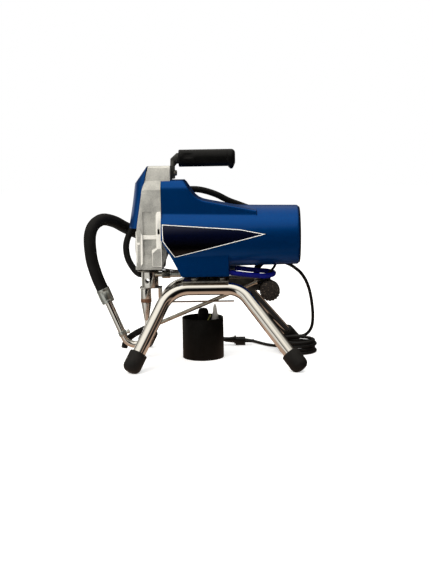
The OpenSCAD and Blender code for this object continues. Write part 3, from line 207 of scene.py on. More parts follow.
# the coil is wound upwards, so the way from the machine to the plug runs down through it
whole_cord = np.vstack([through(cord_route, 6)[:-1], coil(5)[::-1], through(tail_route, 6)[1:]])
line = bpy.data.curves.new("mains_cord", "CURVE")
line.dimensions = "3D"
line.bevel_depth = cord_d / 2000
line.bevel_resolution = 5
line.use_fill_caps = True
spline = line.splines.new("POLY")
spline.points.add(len(whole_cord) - 1)
spline.points.foreach_set("co", np.column_stack([to_frame(whole_cord), np.ones(len(whole_cord))]).ravel())
spline.use_smooth = True
line.materials.append(cord_pvc)
mains_cord = placed("mains_cord", line)
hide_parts("power_cord", "cord_coil", "cord_tail")


def lathe(name, start, end, profile, material, node=None, sides=48, slot=None):
    """A profile (distance along the axis, radius) turned about the line from start to end."""
    a, b = np.asarray(start, float), np.asarray(end, float)
    axis = (b - a) / np.linalg.norm(b - a)
    side = np.cross(axis, [0, 0, 1] if abs(axis[2]) < 0.9 else [0, 1, 0])
    side = side / np.linalg.norm(side)
    other = np.cross(axis, side)
    along, radius = np.asarray(profile, float).T
    turn = np.linspace(0, 2 * np.pi, sides, endpoint=False)
    ring = np.cos(turn)[:, None] * side + np.sin(turn)[:, None] * other
    grid = a + along[:, None, None] * axis + radius[:, None, None] * ring
    return skin(name, grid, material, node, slot=slot)


def closed(mesh):
    """The mesh with its doubles merged, its faces turned outwards and its shading smooth."""
    shape = bmesh.new()
    shape.from_mesh(mesh)
    bmesh.ops.remove_doubles(shape, verts=shape.verts, dist=1e-6)
    bmesh.ops.recalc_face_normals(shape, faces=shape.faces)
    shape.to_mesh(mesh)
    shape.free()
    mesh.polygons.foreach_set("use_smooth", [True] * len(mesh.polygons))


def grid_quads(rows, across, around=False):
    """The faces of a grid of points, row by row; around joins the last column to the first."""
    i, j = np.meshgrid(np.arange(rows - 1), np.arange(across if around else across - 1), indexing="ij")
    k = (j + 1) % across
    here, beyond = i * across, (i + 1) * across
    return np.stack([here + j, here + k, beyond + k, beyond + j], -1).reshape(-1, 4)


def skin(name, grid, material, node=None, ends=True, slot=None, keep=None, lengthways=None):
    """A smooth surface, closed round, over a grid of points (rows, round, xyz), its ends filled."""
    rows, round_ = grid.shape[:2]
    quads = grid_quads(rows, round_, around=True)
    if keep is not None:
        quads = quads[keep(grid.reshape(-1, 3)[quads].mean(1))]
    faces = quads.tolist()
    if ends:
        faces += [list(range(round_))[::-1], list(range((rows - 1) * round_, rows * round_))]
    mesh = bpy.data.meshes.new(name)
    mesh.from_pydata(to_frame(grid.reshape(-1, 3)).tolist(), [], faces)
    if lengthways is not None:
        coat = mesh.attributes.new("along", "FLOAT", "POINT")
        coat.data.foreach_set("value", np.repeat(lengthways, round_).astype(np.float32))
    closed(mesh)
    mesh.set_sharp_from_angle(angle=math.radians(40))
    mesh.materials.append(material)
    return placed(name, mesh, node=node)


# strain relief: a moulded cone with slots that let it bend
gland_profile = [[0, 0], [0, 7]] + [[2.0 + 2.6 * k + d, 6.8 - 0.55 * k - (0.9 if i % 2 else 0)]
                                   for k in range(5) for i, d in enumerate([0, 0.7, 1.9, 2.4])]
gland_profile += [[18.4, 4.0], [18.4, 0]]
cord_gland = lathe("strain_relief", [135, 18.2, 197], [149.9, 19.99, 186.1], gland_profile, cord_pvc,
                   "cord_gland", slot="rubber")


def dressed(material, *names):
    """CAD pieces whose shape is right take the material as they are."""
    for name in names:
        nodes[name].data.materials.clear()
        nodes[name].data.materials.append(material)


def eased(piece, radius, segments, angle, rim):
    """The piece with a bevel on its edges past an angle; the rim material covers the bevels."""
    edges = piece.modifiers.new("edges", "BEVEL")
    edges.width = radius * 0.001
    edges.segments = segments
    edges.limit_method = "ANGLE"
    edges.angle_limit = math.radians(angle)
    edges.harden_normals = True
    edges.use_clamp_overlap = True
    edges.material = 1 if rim else -1
    return piece


def softened(name, radius, material, angle=28, segments=2, rim=None, where=None):
    """A CAD piece with its sharp edges rounded: a merged copy with a bevel on edges past an angle.
    A rim material covers the bevels and the faces whose middle, in millimetres, passes where()."""
    shape = bmesh.new()
    shape.from_mesh(nodes[name].data)
    bmesh.ops.remove_doubles(shape, verts=shape.verts, dist=2e-6)
    bmesh.ops.dissolve_limit(shape, angle_limit=math.radians(0.6), verts=shape.verts, edges=shape.edges)
    mesh = bpy.data.meshes.new(name + "_soft")
    shape.to_mesh(mesh)
    shape.free()
    mesh.polygons.foreach_set("use_smooth", [True] * len(mesh.polygons))
    mesh.materials.append(material)
    if rim:
        mesh.materials.append(rim)
    if where:
        middles = np.empty(len(mesh.polygons) * 3)
        mesh.polygons.foreach_get("center", middles)
        bright = where(middles.reshape(-1, 3) * 1000 - [MACHINE_X, 0, 0])
        mesh.polygons.foreach_set("material_index", bright.astype(int))
    piece = placed(name + "_soft", mesh, nodes[name]["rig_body"], name)
    return eased(piece, radius, segments, angle, rim)


plug = softened("cord_plug", 0.8, cord_pvc)

# ---- floor, sky and lamps -----------------------------------------------------------------
# A pale floor that runs out of sight, an even white sky whose reflection darkens towards the
# horizon as a room does, and soft lamps above the machine, of which gloss shows only one.
floor_mesh = bpy.data.meshes.new("floor")
floor_mesh.from_pydata([(-9, -9, 0), (9, -9, 0), (9, 9, 0), (-9, 9, 0)], [], [(0, 1, 2, 3)])
floor = bpy.data.objects.new("floor", floor_mesh)
bpy.context.scene.collection.objects.link(floor)
floor_paint, tree, place = finish_named("floor_paint")
seen = add(tree, "ShaderNodeBsdfDiffuse", {"Color": "#F4F3F1"})
lift = add(tree, "ShaderNodeEmission", {"Color": (1, 1, 1, 1), "Strength": 0.5})
pale = add(tree, "ShaderNodeAddShader", {0: seen, 1: lift})
# what metal and gloss see of the floor: warm close to the machine, and further off the walls of
# a room, bright on the left, dark in front, with a narrow brown doorway on the right
WALLS = [(0.0, "#8A867F"), (0.07, "#EFECE4"), (0.3, "#F6F3EC"), (0.36, "#3A3837"),
         (0.42, "#0E0D0D"), (0.8, "#0C0C0C"), (0.85, "#8E7767"), (0.89, "#9A8474"),
         (0.93, "#1D1C1C"), (1.0, "#2B2A29")]


def wall_tone(tree, place):
    """The walls' tone in a direction: a ramp over x / length, from left to right."""
    reach = add(tree, "ShaderNodeVectorMath", {0: place}, operation="LENGTH").outputs["Value"]
    aside = add(tree, "ShaderNodeSeparateXYZ", {0: place}).outputs["X"]
    share = add(tree, "ShaderNodeMath", {0: aside, 1: reach}, operation="DIVIDE")
    shifted = add(tree, "ShaderNodeMapRange", {0: share, 1: -1.0, 2: 1.0})
    return reach, add(tree, "ShaderNodeValToRGB", {0: shifted}, stops=WALLS)


def by_ray(tree, lit, mirrored, clear):
    """Light that a surface scatters sees the first, gloss the second, and the camera, also through
    clear pieces, the third."""
    ray = add(tree, "ShaderNodeLightPath").outputs
    indirect = add(tree, "ShaderNodeMixShader", {0: ray["Is Glossy Ray"], 1: lit, 2: mirrored})
    straight = add(tree, "ShaderNodeMath", {0: ray["Is Camera Ray"], 1: ray["Is Transmission Ray"]},
                   operation="MAXIMUM")
    return add(tree, "ShaderNodeMixShader", {0: straight, 1: indirect, 2: clear})


reach, walls = wall_tone(tree, place)
far = add(tree, "ShaderNodeMapRange", {0: reach, 1: 0.16, 2: 0.3})
mirrored = add(tree, "ShaderNodeMix", {0: far, 6: "#CDAE98", 7: walls}, data_type="RGBA")
glow = add(tree, "ShaderNodeEmission", {"Color": mirrored.outputs[2], "Strength": 0.78})
add(tree, "ShaderNodeOutputMaterial", {"Surface": by_ray(tree, seen, glow, pale)})
floor_mesh.materials.append(floor_paint)

sky = bpy.data.worlds.new("sky")
bpy.context.scene.world = sky
sky.use_nodes = True
tree = sky.node_tree
tree.nodes.clear()
direction = add(tree, "ShaderNodeTexCoord").outputs["Generated"]
axes = add(tree, "ShaderNodeSeparateXYZ", {0: direction}).outputs
# the lamps hang on the left, so on the right the dark of the walls reaches higher
rightwards = add(tree, "ShaderNodeMath", {0: axes["X"], 1: 0.0}, operation="MAXIMUM")
height = add(tree, "ShaderNodeMath", {0: rightwards, 1: -0.5, 2: axes["Z"]}, operation="MULTIPLY_ADD")
room = add(tree, "ShaderNodeValToRGB", {0: height},
           stops=[(0.0, "#3A3734"), (0.16, "#1A191A"), (0.19, "#5E5C58"),
                  (0.23, "#6A6863"), (0.26, "#1C1B1C"), (0.38, "#4C4A48"),
                  (0.55, "#D3CFC5"), (1.0, "#FFFBF2")])
walls = wall_tone(tree, direction)[1]
high = add(tree, "ShaderNodeMapRange", {0: height, 1: 0.12, 2: 0.24})
seen_room = add(tree, "ShaderNodeMix", {0: high, 6: walls, 7: room}, data_type="RGBA")
mirrored = add(tree, "ShaderNodeBackground", {"Color": seen_room.outputs[2], "Strength": 1.0})
plain = add(tree, "ShaderNodeBackground", {"Color": "#F4F5F7", "Strength": 0.62})
white = add(tree, "ShaderNodeBackground", {"Color": (1, 1, 1, 1), "Strength": 1.0})
add(tree, "ShaderNodeOutputWorld", {"Surface": by_ray(tree, plain, mirrored, white)})


def softbox(name, at, size, power, colour):
    """A square lamp at a place, aimed at the machine's middle."""
    lamp = bpy.data.lights.new(name, "AREA")
    lamp.size = size
    lamp.energy = power
    lamp.color = linear(colour)[:3]
    holder = bpy.data.objects.new(name, lamp)
    holder.location = at
    holder.rotation_euler = (Vector((0, 0, 0.2)) - Vector(at)).to_track_quat("-Z", "Y").to_euler()
    bpy.context.scene.collection.objects.link(holder)


window_at = (-0.9, -1.3, 2.1)
softbox("window", window_at, 3.4, 9, "#FFF9EF")
softbox("window_fill", window_at, 1.6, 44, "#FFF9EF")
softbox("ceiling", (0.7, 0.5, 2.4), 1.8, 22, "#FFFDF8")
for name in ("window_fill", "ceiling"):
    bpy.data.objects[name].visible_glossy = False

# ---- stand --------------------------------------------------------------------------------
# Two bent tubes of 1 inch steel with bright chrome plating, each leaning outwards, on rubber
# feet pushed over their ends.
chrome_plate, tree, place = finish_named("chrome_plate")
# plating over drawn tube: a mirror with slow waves and a little haze
ripple = add(tree, "ShaderNodeTexNoise", {"Vector": place, "Scale": 26.0, "Detail": 2.0})
haze = add(tree, "ShaderNodeTexNoise", {"Vector": place, "Scale": 90.0, "Detail": 4.0})
dull = add(tree, "ShaderNodeMapRange", {0: haze, 1: 0.35, 2: 0.8, 3: 0.02, 4: 0.07})
relief = add(tree, "ShaderNodeBump", {"Height": ripple, "Strength": 0.10, "Distance": 0.003})
surface(tree, {"Base Color": "#EDEBE6", "Metallic": 1.0, "Roughness": dull, "Normal": relief})

stand_top, stand_half, stand_lean, tube_od, tube_wall = 150, 46, math.radians(29.3), 25.4, 2
front_corner, rear_corner, front_slope, rear_slope = -90.5, 46.5, math.radians(24), math.radians(35)
front_bend, rear_bend = 58, 50
foot_od, foot_len, foot_floor, foot_round, foot_flat = 35, 40, 8, 12, 1.5


def arc(centre, radius, first, last, count):
    """Points on a circle's arc."""
    a = np.linspace(first, last, count)
    return np.column_stack([centre[0] + radius * np.cos(a), centre[1] + radius * np.sin(a)])


def rim_at(slope):
    """How far down a leg its foot's rim lies, so that the foot's round end meets the floor."""
    c = math.cos(slope) * math.cos(stand_lean)
    s = math.sqrt(1 - c * c)
    round_at = stand_top + foot_flat - foot_round - s * (foot_od / 2 - foot_round)
    return round_at / c - (foot_len - foot_round)


def tube(name, path, radius, material, sides=40, wall=0.0, **more):
    """A round tube carried along a path without twist; a wall gives it open ends and a bore."""
    p = np.asarray(path, float)
    t = np.gradient(p, axis=0)
    t[0], t[-1] = p[1] - p[0], p[-1] - p[-2]
    t /= np.linalg.norm(t, axis=1)[:, None]
    s = np.cross(t[0], [0, 0, 1] if abs(t[0][2]) < 0.9 else [0, 1, 0])
    carried = []
    for tangent in t:
        s = s - s.dot(tangent) * tangent
        s = s / np.linalg.norm(s)
        carried.append(s)
    s = np.array(carried)
    o = np.cross(t, s)
    turn = np.linspace(0, 2 * np.pi, sides, endpoint=False)
    ring = np.cos(turn)[:, None] * s[:, None] + np.sin(turn)[:, None] * o[:, None]
    grid = p[:, None] + radius * ring
    length = np.concatenate([[0], np.linalg.norm(np.diff(p, axis=0), axis=1).cumsum()])
    if wall:
        inner = p[:, None] + (radius - wall) * ring
        grid = np.concatenate([grid, inner[::-1], grid[:1]])
        return skin(name, grid, material, ends=False, **more)
    return skin(name, grid, material, lengthways=length, **more)


cut_f, cut_r = (r * math.tan((math.pi / 2 - slope) / 2)
                for r, slope in ((front_bend, front_slope), (rear_bend, rear_slope)))
leg_f, leg_r = (rim_at(slope) + foot_len - foot_floor for slope in (front_slope, rear_slope))
flat = np.vstack([
    [[front_corner - leg_f * math.sin(front_slope), -leg_f * math.cos(front_slope)]],
    arc([front_corner + cut_f, -front_bend], front_bend, math.pi - front_slope, math.pi / 2, 28),
    arc([rear_corner - cut_r, -rear_bend], rear_bend, math.pi / 2, rear_slope, 24),
    [[rear_corner + leg_r * math.sin(rear_slope), -leg_r * math.cos(rear_slope)]]])
for side, sign in (("near", -1), ("far", 1)):
    out = stand_half - flat[:, 1] * math.sin(stand_lean)
    line = np.column_stack([flat[:, 0], sign * out, stand_top + flat[:, 1] * math.cos(stand_lean)])
    tube("tube_" + side, line, tube_od / 2, chrome_plate, sides=48, wall=tube_wall,
         node="stand_tube_" + side, slot="chrome_tube")

# moulded black rubber: matt, with fine spark texture and a dusty bloom
foot_rubber = mottled("foot_rubber", {"Scale": 45.0, "Detail": 4.0}, [(0.3, "#0B0A09"), (0.8, "#1B1816")],
                      {"Roughness": 0.58, "Specular IOR Level": 0.3}, (0.35, 0.0003),
                      {"Scale": 900.0, "Detail": 2.0})
for name in ("foot_front_near", "foot_front_far", "foot_rear_near", "foot_rear_far"):
    softened(name, 1.2, foot_rubber, angle=35)

# ---- plate and motor cradle ---------------------------------------------------------------
# A zinc plated plate bolted across the two tubes, rubber isolators on it, and the folded
# steel cradle that carries the motor.
zinc_plate, tree, place = finish_named("zinc_plate")
# electroplated zinc: greyish, with a faint spangle
spangle = add(tree, "ShaderNodeTexVoronoi", {"Vector": place, "Scale": 260.0})
tone = add(tree, "ShaderNodeValToRGB", {0: spangle.outputs["Distance"]},
           stops=[(0.0, "#8E8C86"), (0.8, "#B4B1A8")])
rub = add(tree, "ShaderNodeTexNoise", {"Vector": place, "Scale": 60.0, "Detail": 5.0})
dull = add(tree, "ShaderNodeMapRange", {0: rub, 3: 0.26, 4: 0.5})
surface(tree, {"Base Color": tone, "Metallic": 1.0, "Roughness": dull})
softened("mount_plate", 0.5, zinc_plate)
softened("fasteners", 0.5, zinc_plate)
dressed(foot_rubber, "isolators")

black_steel, tree, place = finish_named("black_steel")
# stoved black paint over sheet steel
peel = add(tree, "ShaderNodeTexNoise", {"Vector": place, "Scale": 500.0, "Detail": 2.0})
relief = add(tree, "ShaderNodeBump", {"Height": peel, "Strength": 0.15, "Distance": 0.0003})
surface(tree, {"Base Color": "#121213", "Roughness": 0.36, "Normal": relief})
softened("motor_cradle", 0.6, black_steel)

# ---- drive housing ------------------------------------------------------------------------
# Sand cast aluminium sprayed with silver enamel, in two halves that meet at a seam; the front
# half holds the crank, the rear half the gears.
silver_casting, tree, place = finish_named("silver_casting")
# grains of sand show as a fine pebble under the paint; metal flakes give it a satin gleam
sand = add(tree, "ShaderNodeTexNoise", {"Vector": place, "Scale": 620.0, "Detail": 3.0, "Roughness": 0.65})
cloud = add(tree, "ShaderNodeTexNoise", {"Vector": place, "Scale": 30.0, "Detail": 4.0})
speck = add(tree, "ShaderNodeMix", {0: 0.45, 2: cloud, 3: sand})
tone = add(tree, "ShaderNodeValToRGB", {0: speck}, stops=[(0.36, "#B4B4AF"), (0.64, "#E6E5DE")])
relief = add(tree, "ShaderNodeBump", {"Height": sand, "Strength": 0.4, "Distance": 0.0005})
surface(tree, {"Base Color": tone, "Metallic": 0.6, "Roughness": 0.5, "Normal": relief})
# painted highlight: the same casting, paler and with less flake showing, for the parts that stand proud
painted_highlight_casting = mottled("painted_highlight_casting", {"Scale": 620.0, "Detail": 3.0, "Roughness": 0.65},
                         [(0.3, "#E2E0D8"), (0.7, "#F8F6EF")], {"Metallic": 0.1, "Roughness": 0.4},
                         (0.25, 0.0004))
# painted highlight: the housing's faces that stand proud at its sides, and its bevels, take the paler
# finish
softened("gear_housing", 1.4, silver_casting, rim=painted_highlight_casting,
         where=lambda c: (np.abs(c[:, 1]) > 46.2) & (c[:, 2] > 230) & (c[:, 0] > -118))
softened("gear_case", 1.2, silver_casting, rim=painted_highlight_casting)

# painted shade: a thin black rubber sheet under the flange draws the dark line of shade there; it is open
# round the pump's sleeve
bore_at, bore_radius, shade_strip_low, shade_strip_high = -134.5, 17.4, 187.2, 189.2
plan_from, plan_to, plan_half = -156.4, -105.6, 45.4
corners = np.array([[x - bore_at, y] for x in (plan_from, plan_to) for y in (-plan_half, plan_half)])
turn = np.sort(np.concatenate([np.linspace(0, 2 * np.pi, 48, endpoint=False),
                               np.arctan2(corners[:, 1], corners[:, 0]) % (2 * np.pi)]))
ways = np.column_stack([np.cos(turn), np.sin(turn)])
# how far a ray from the bore's centre runs: the nearer of |side - centre| / |cos| and half / |sin|
ahead = np.where(ways[:, 0] > 0, plan_to - bore_at, bore_at - plan_from)
reach = np.minimum(ahead / (np.abs(ways[:, 0]) + 1e-9), plan_half / (np.abs(ways[:, 1]) + 1e-9))
rings = [np.column_stack([bore_at + r * ways[:, 0], r * ways[:, 1], np.full(len(turn), z)])
         for r, z in ((reach, shade_strip_low), (reach, shade_strip_high), (bore_radius, shade_strip_high),
                      (bore_radius, shade_strip_low), (reach, shade_strip_low))]
skin("flange_gasket", np.array(rings), foot_rubber, ends=False, slot="rubber")


def raised(name, outline, depth, rounding, material=painted_highlight_casting, slot="casting"):
    """A flat plate on the housing's side: an outline (x, z) drawn out from depth[0] to depth[1]. On
    the casting its bevels take painted highlight, the paler casting finish."""
    flat = np.asarray(outline, float)
    n = len(flat)
    ends = [np.column_stack([flat[:, 0], np.full(n, y), flat[:, 1]]) for y in depth]
    sides = [[k, (k + 1) % n, n + (k + 1) % n, n + k] for k in range(n)]
    plate = bpy.data.meshes.new(name)
    lids = [list(range(n))[::-1], list(range(n, 2 * n))]
    plate.from_pydata(to_frame(np.vstack(ends)).tolist(), [], sides + lids)
    closed(plate)
    plate.materials.append(material)
    plate.materials.append(painted_highlight_casting if slot == "casting" else material)
    return eased(placed(name, plate), rounding, 2, 30, rim=True)


for side, sign in (("near", -1), ("far", 1)):
    # a rib across, a raised foot under the strip, a tapering ridge on the lug with its boss, and a
    # black rubber block in the slot that paints the slot's shade
    raised("housing_rib_" + side, [[-142, 248.3], [-114, 248.3], [-114, 256.7], [-142, 256.7]],
           [sign * 43, sign * 47.6], 1.2)
    raised("strip_foot_" + side,
           [[-123.5, 195.6], [-105.4, 195.6], [-105.4, 231], [-113, 231], [-123.5, 222]],
           [sign * 45.6, sign * 50.4], 0.9, silver_casting)
    raised("lug_ridge_" + side,
           [[-146.4, 196.5], [-142.2, 201.5], [-141.4, 256], [-144.2, 262], [-145.6, 240]],
           [sign * 48.6, sign * 51.2], 0.8)
    raised("lug_boss_" + side, [[-153.6, 238], [-146.6, 238], [-146.6, 243], [-153.6, 243]],
           [sign * 48.6, sign * 50.8], 0.9)
    raised("lug_edge_" + side,
           [[-154.4, 204], [-152.2, 204], [-151.6, 234], [-152.6, 258], [-154.4, 262]],
           [sign * 48.6, sign * 50.6], 0.6)
    # painted shade: a black block fills the slot where its shade falls
    raised("slot_plug_" + side, [[-112.1, 258.4], [-107.9, 258.4], [-107.9, 268.6], [-112.1, 268.6]],
           [sign * 45.6, sign * 49.6], 0.8, foot_rubber, "rubber")

# ---- lacquered covers ---------------------------------------------------------------------
# Moulded ABS sprayed with metallic blue and a clear coat: the pointed cover over the housing's
# open front, and the one-piece shroud of tower, barrel and skirt over the motor.
blue_lacquer, tree, place = finish_named("blue_lacquer")
# aluminium flakes, drawn 0.5 mm across so that they show, in blue lacquer under a clear coat
flake = add(tree, "ShaderNodeTexVoronoi", {"Vector": place, "Scale": 1900.0})
tone = add(tree, "ShaderNodeValToRGB", {0: flake.outputs["Distance"]},
           stops=[(0.0, "#005296"), (0.9, "#003880")])
peel = add(tree, "ShaderNodeTexNoise", {"Vector": place, "Scale": 150.0, "Detail": 1.0})
relief = add(tree, "ShaderNodeBump", {"Height": peel, "Strength": 0.04, "Distance": 0.0005})
surface(tree, {"Base Color": tone, "Metallic": 0.82, "Roughness": 0.4, "Coat Weight": 0.16,
               "Coat Roughness": 0.08, "Specular IOR Level": 0.1, "Normal": relief})
softened("front_cover", 1.6, blue_lacquer, angle=14, segments=3)

seam_x, barrel_end, motor_z, barrel_r1, barrel_r2 = -105, 163, 250, 63, 58.5
tower_half, block_half, shroud_top, chamfer_z = 43, 34, 362, 347
skirt_half, skirt_z, skirt_rear = 50, 173, 27
block_end, barrel_edge = 83.5, 4
saddle = np.array([[-105, 362], [-62, 362], [-58, 357.5], [-53, 349.5], [-47, 339.5], [-41, 332],
                   [-34, 326.5], [-26, 323], [-18, 321], [81, 301], [block_end, 290]])


def softer(a, b, k):
    """The larger of two lengths, eased over k where they cross; a negative k takes the smaller."""
    return 0.5 * (a + b + np.sign(k) * np.sqrt((a - b)**2 + k * k))


def shroud_reach(x, turn):
    """How far the shroud's skin stands from the motor's axis: the largest of a tapering barrel, a
    chamfered tower under the saddle's line and a square skirt, each met by the ray at that angle."""
    barrel = barrel_r1 + (barrel_r2 - barrel_r1) * (x - seam_x) / (barrel_end - seam_x)
    rounding = np.clip(x - (barrel_end - barrel_edge), 0, barrel_edge)
    barrel = barrel - (barrel_edge - np.sqrt(barrel_edge**2 - rounding**2))
    c, s = np.abs(np.cos(turn)) + 1e-9, np.sin(turn)
    roof = np.interp(x, saddle[:, 0], saddle[:, 1]) - motor_z
    over = np.maximum(s, 1e-3)
    slant = ((chamfer_z - motor_z) * (tower_half - block_half) + tower_half * (shroud_top - chamfer_z)) / (
        (shroud_top - chamfer_z) * c + (tower_half - block_half) * over)
    tower = softer(softer(tower_half / c, slant, -2.0), roof / over, -3.0)
    fade = np.clip((block_end - x) / 4, 0, 1)
    tower = np.where(s > 0, tower, 0) * np.sqrt(1 - (1 - fade)**2)
    skirt = softer(skirt_half / c, (motor_z - skirt_z) / np.maximum(-s, 1e-3), -3.0)
    skirt = np.where(s < 0, skirt, 0) * np.sqrt(1 - (1 - np.clip((skirt_rear - x) / 2.5, 0, 1))**2)
    return softer(softer(barrel, tower, 2.0), skirt, 1.6)


# angles lie closer together where the corners run, and stations where the skin turns
fine = np.radians(np.concatenate([np.arange(-90, -62, 2), np.arange(-62, -32, 1), np.arange(-32, 40, 3),
                                  np.arange(40, 82, 0.8), np.arange(82, 90, 2)]))
turn = np.concatenate([fine, np.pi - fine[::-1]])
stations = np.concatenate([np.linspace(-60, -18, 24), np.linspace(-14, 23, 9), np.linspace(24, 27.4, 8),
                           np.linspace(32, 76, 10), np.linspace(79, 84, 10), np.linspace(89, 156, 14),
                           barrel_end - barrel_edge + barrel_edge * np.sin(np.linspace(0, 1.45, 8))])
reach = shroud_reach(np.full_like(turn, -90.0), turn)
low = motor_z + reach * np.sin(turn)
# the front edge slopes back below the motor's axis, so the first stations start from it
edge = np.interp(low, [skirt_z, 248], [-66.4, seam_x])
edge = np.where(low > 248, seam_x, edge)
lead = edge[None, :] + (-62.0 - edge[None, :]) * np.linspace(0, 1, 14)[:, None]
x = np.vstack([lead, np.repeat(stations[:, None], len(turn), 1)])
reach = shroud_reach(x, turn[None, :])
grid = np.stack([x, reach * np.cos(turn), motor_z + reach * np.sin(turn)], -1)
# the skirt is open below
shroud = skin("shroud", grid, blue_lacquer, "motor_shroud", ends=False, slot="blue_shell",
              keep=lambda middle: (middle[:, 2] > skirt_z + 0.6) | (middle[:, 0] > skirt_rear))


def walled(piece, depth):
    """The piece's skin with a wall drawn inwards to this depth in metres."""
    wall = piece.modifiers.new("wall", "SOLIDIFY")
    wall.thickness = depth
    wall.offset = -1


walled(shroud, 0.0024)

# trim plate: a thin black film with a pale line round it, laid on the barrel's near side
trim_film, tree, place = finish_named("trim_film")
# gloss printed black film with a painted highlight that turns it navy towards the top; the line is printed
# in pale grey
edge_mm = add(tree, "ShaderNodeAttribute", attribute_name="edge_mm").outputs["Fac"]
after = add(tree, "ShaderNodeMath", {0: edge_mm, 1: 0.7}, operation="GREATER_THAN")
before = add(tree, "ShaderNodeMath", {0: edge_mm, 1: 1.9}, operation="LESS_THAN")
line = add(tree, "ShaderNodeMath", {0: after, 1: before}, operation="MULTIPLY")
# painted highlight: the film's colour runs from black low down to navy higher up
rise = add(tree, "ShaderNodeSeparateXYZ", {0: place}).outputs["Z"]
glow = add(tree, "ShaderNodeMapRange", {0: rise, 1: 0.235, 2: 0.272})
painted_light_tone = add(tree, "ShaderNodeValToRGB", {0: glow}, stops=[(0.0, "#010102"), (1.0, "#030822")])
tone = add(tree, "ShaderNodeMix", {0: line, 6: painted_light_tone, 7: "#FBFBF8"}, data_type="RGBA")
surface(tree, {"Base Color": tone.outputs[2], "Roughness": 0.16, "Specular IOR Level": 0.3})

film_lift = 0.6
panel_outline = np.array([[-103.5, 278.6], [-102, 245], [-80, 212], [100, 256.5], [48, 267]])
lower = panel_outline[[0, 1, 2, 3]]
upper = panel_outline[[0, 4, 3]]
px = np.unique(np.concatenate([np.linspace(-103.5, 100, 140), panel_outline[:, 0]]))
pv = np.linspace(0, 1, 28)
low_z, high_z = (np.interp(px, side[:, 0], side[:, 1])[:, None] for side in (lower, upper))
pz = low_z * (1 - pv) + high_z * pv
px2 = np.repeat(px[:, None], len(pv), 1)
ring_r = barrel_r1 + (barrel_r2 - barrel_r1) * (px2 - seam_x) / (barrel_end - seam_x)
py = -np.sqrt(ring_r**2 - (pz - motor_z)**2) - film_lift
flat_points = np.stack([px2, pz], -1).reshape(-1, 2)
nearest = np.full(len(flat_points), 1e9)
for a, b in zip(panel_outline, np.roll(panel_outline, -1, 0)):
    t = np.clip(((flat_points - a) @ (b - a)) / ((b - a) @ (b - a)), 0, 1)
    nearest = np.minimum(nearest, np.linalg.norm(flat_points - a - t[:, None] * (b - a), axis=1))
quads = grid_quads(*px2.shape)[:, [0, 3, 2, 1]]
mesh = bpy.data.meshes.new("trim_plate")
mesh.from_pydata(to_frame(np.stack([px2, py, pz], -1).reshape(-1, 3)).tolist(), [], quads.tolist())
mesh.attributes.new("edge_mm", "FLOAT", "POINT").data.foreach_set("value", nearest.astype(np.float32))
mesh.polygons.foreach_set("use_smooth", [True] * len(mesh.polygons))
mesh.materials.append(trim_film)
walled(placed("trim_plate", mesh, node="side_panel"), 0.0005)

# rear grille: a black vent that closes the barrel, of ABS with a spark-eroded texture, dusty on
# its high spots
black_moulding = mottled("black_moulding", {"Scale": 70.0, "Detail": 3.0},
                         [(0.35, "#040403"), (0.8, "#0A0908")],
                         {"Roughness": 0.55, "Specular IOR Level": 0.16}, (0.3, 0.0003),
                         {"Scale": 800.0, "Detail": 3.0})
softened("rear_grille", 0.6, black_moulding)

# ---- gear train ---------------------------------------------------------------------------
# Hardened and ground steel on sealed ball bearings; the connecting rod is a raw casting.

# hobbed and ground: fine marks across the teeth and a film of grease
gear_steel = mottled("gear_steel", {"Scale": 400.0, "Detail": 5.0},
                     [(0.3, "#77746C"), (0.75, "#A8A59C")],
                     {"Metallic": 1.0, "Roughness": 0.32, "Coat Weight": 0.3}, (0.1, 0.0003))
dressed(gear_steel, "cluster_gear", "crankshaft", "ball_bearings")
softened("connecting_rod", 0.8, silver_casting)

# ---- motor --------------------------------------------------------------------------------
# A two-pole-pair magnet motor: drawn steel can, ferrite magnets, cast end bell with brushes,
# and the armature with its commutator and fan.
dressed(black_steel, "motor_can")
dressed(silver_casting, "brush_end_bell")
# sintered ceramic magnet: dead matt, dark grey, slightly porous
ferrite = mottled("ferrite", {"Scale": 600.0, "Detail": 2.0}, [(0.3, "#222326"), (0.7, "#37383C")],
                  {"Roughness": 0.8})
dressed(ferrite, "field_magnets")
dressed(gear_steel, "rotor")

# ---- handle -------------------------------------------------------------------------------
# A cast bar bolted to the rear half of the housing, and a black moulded rubber grip with a
# thumb dimple near its front and a hooked end.

# cast metal under thin dark grey enamel, mottled; on the manifold this dark tone is painted shade
dark_casting_and_shade = mottled("dark_casting_and_shade", {"Scale": 80.0, "Detail": 4.0},
                       [(0.3, "#2E2E2C"), (0.75, "#5A5A55")], {"Metallic": 0.7, "Roughness": 0.42},
                       (0.3, 0.0006))
softened("handle_bar", 0.8, dark_casting_and_shade, angle=35)
grip_rubber, tree, place = finish_named("grip_rubber")
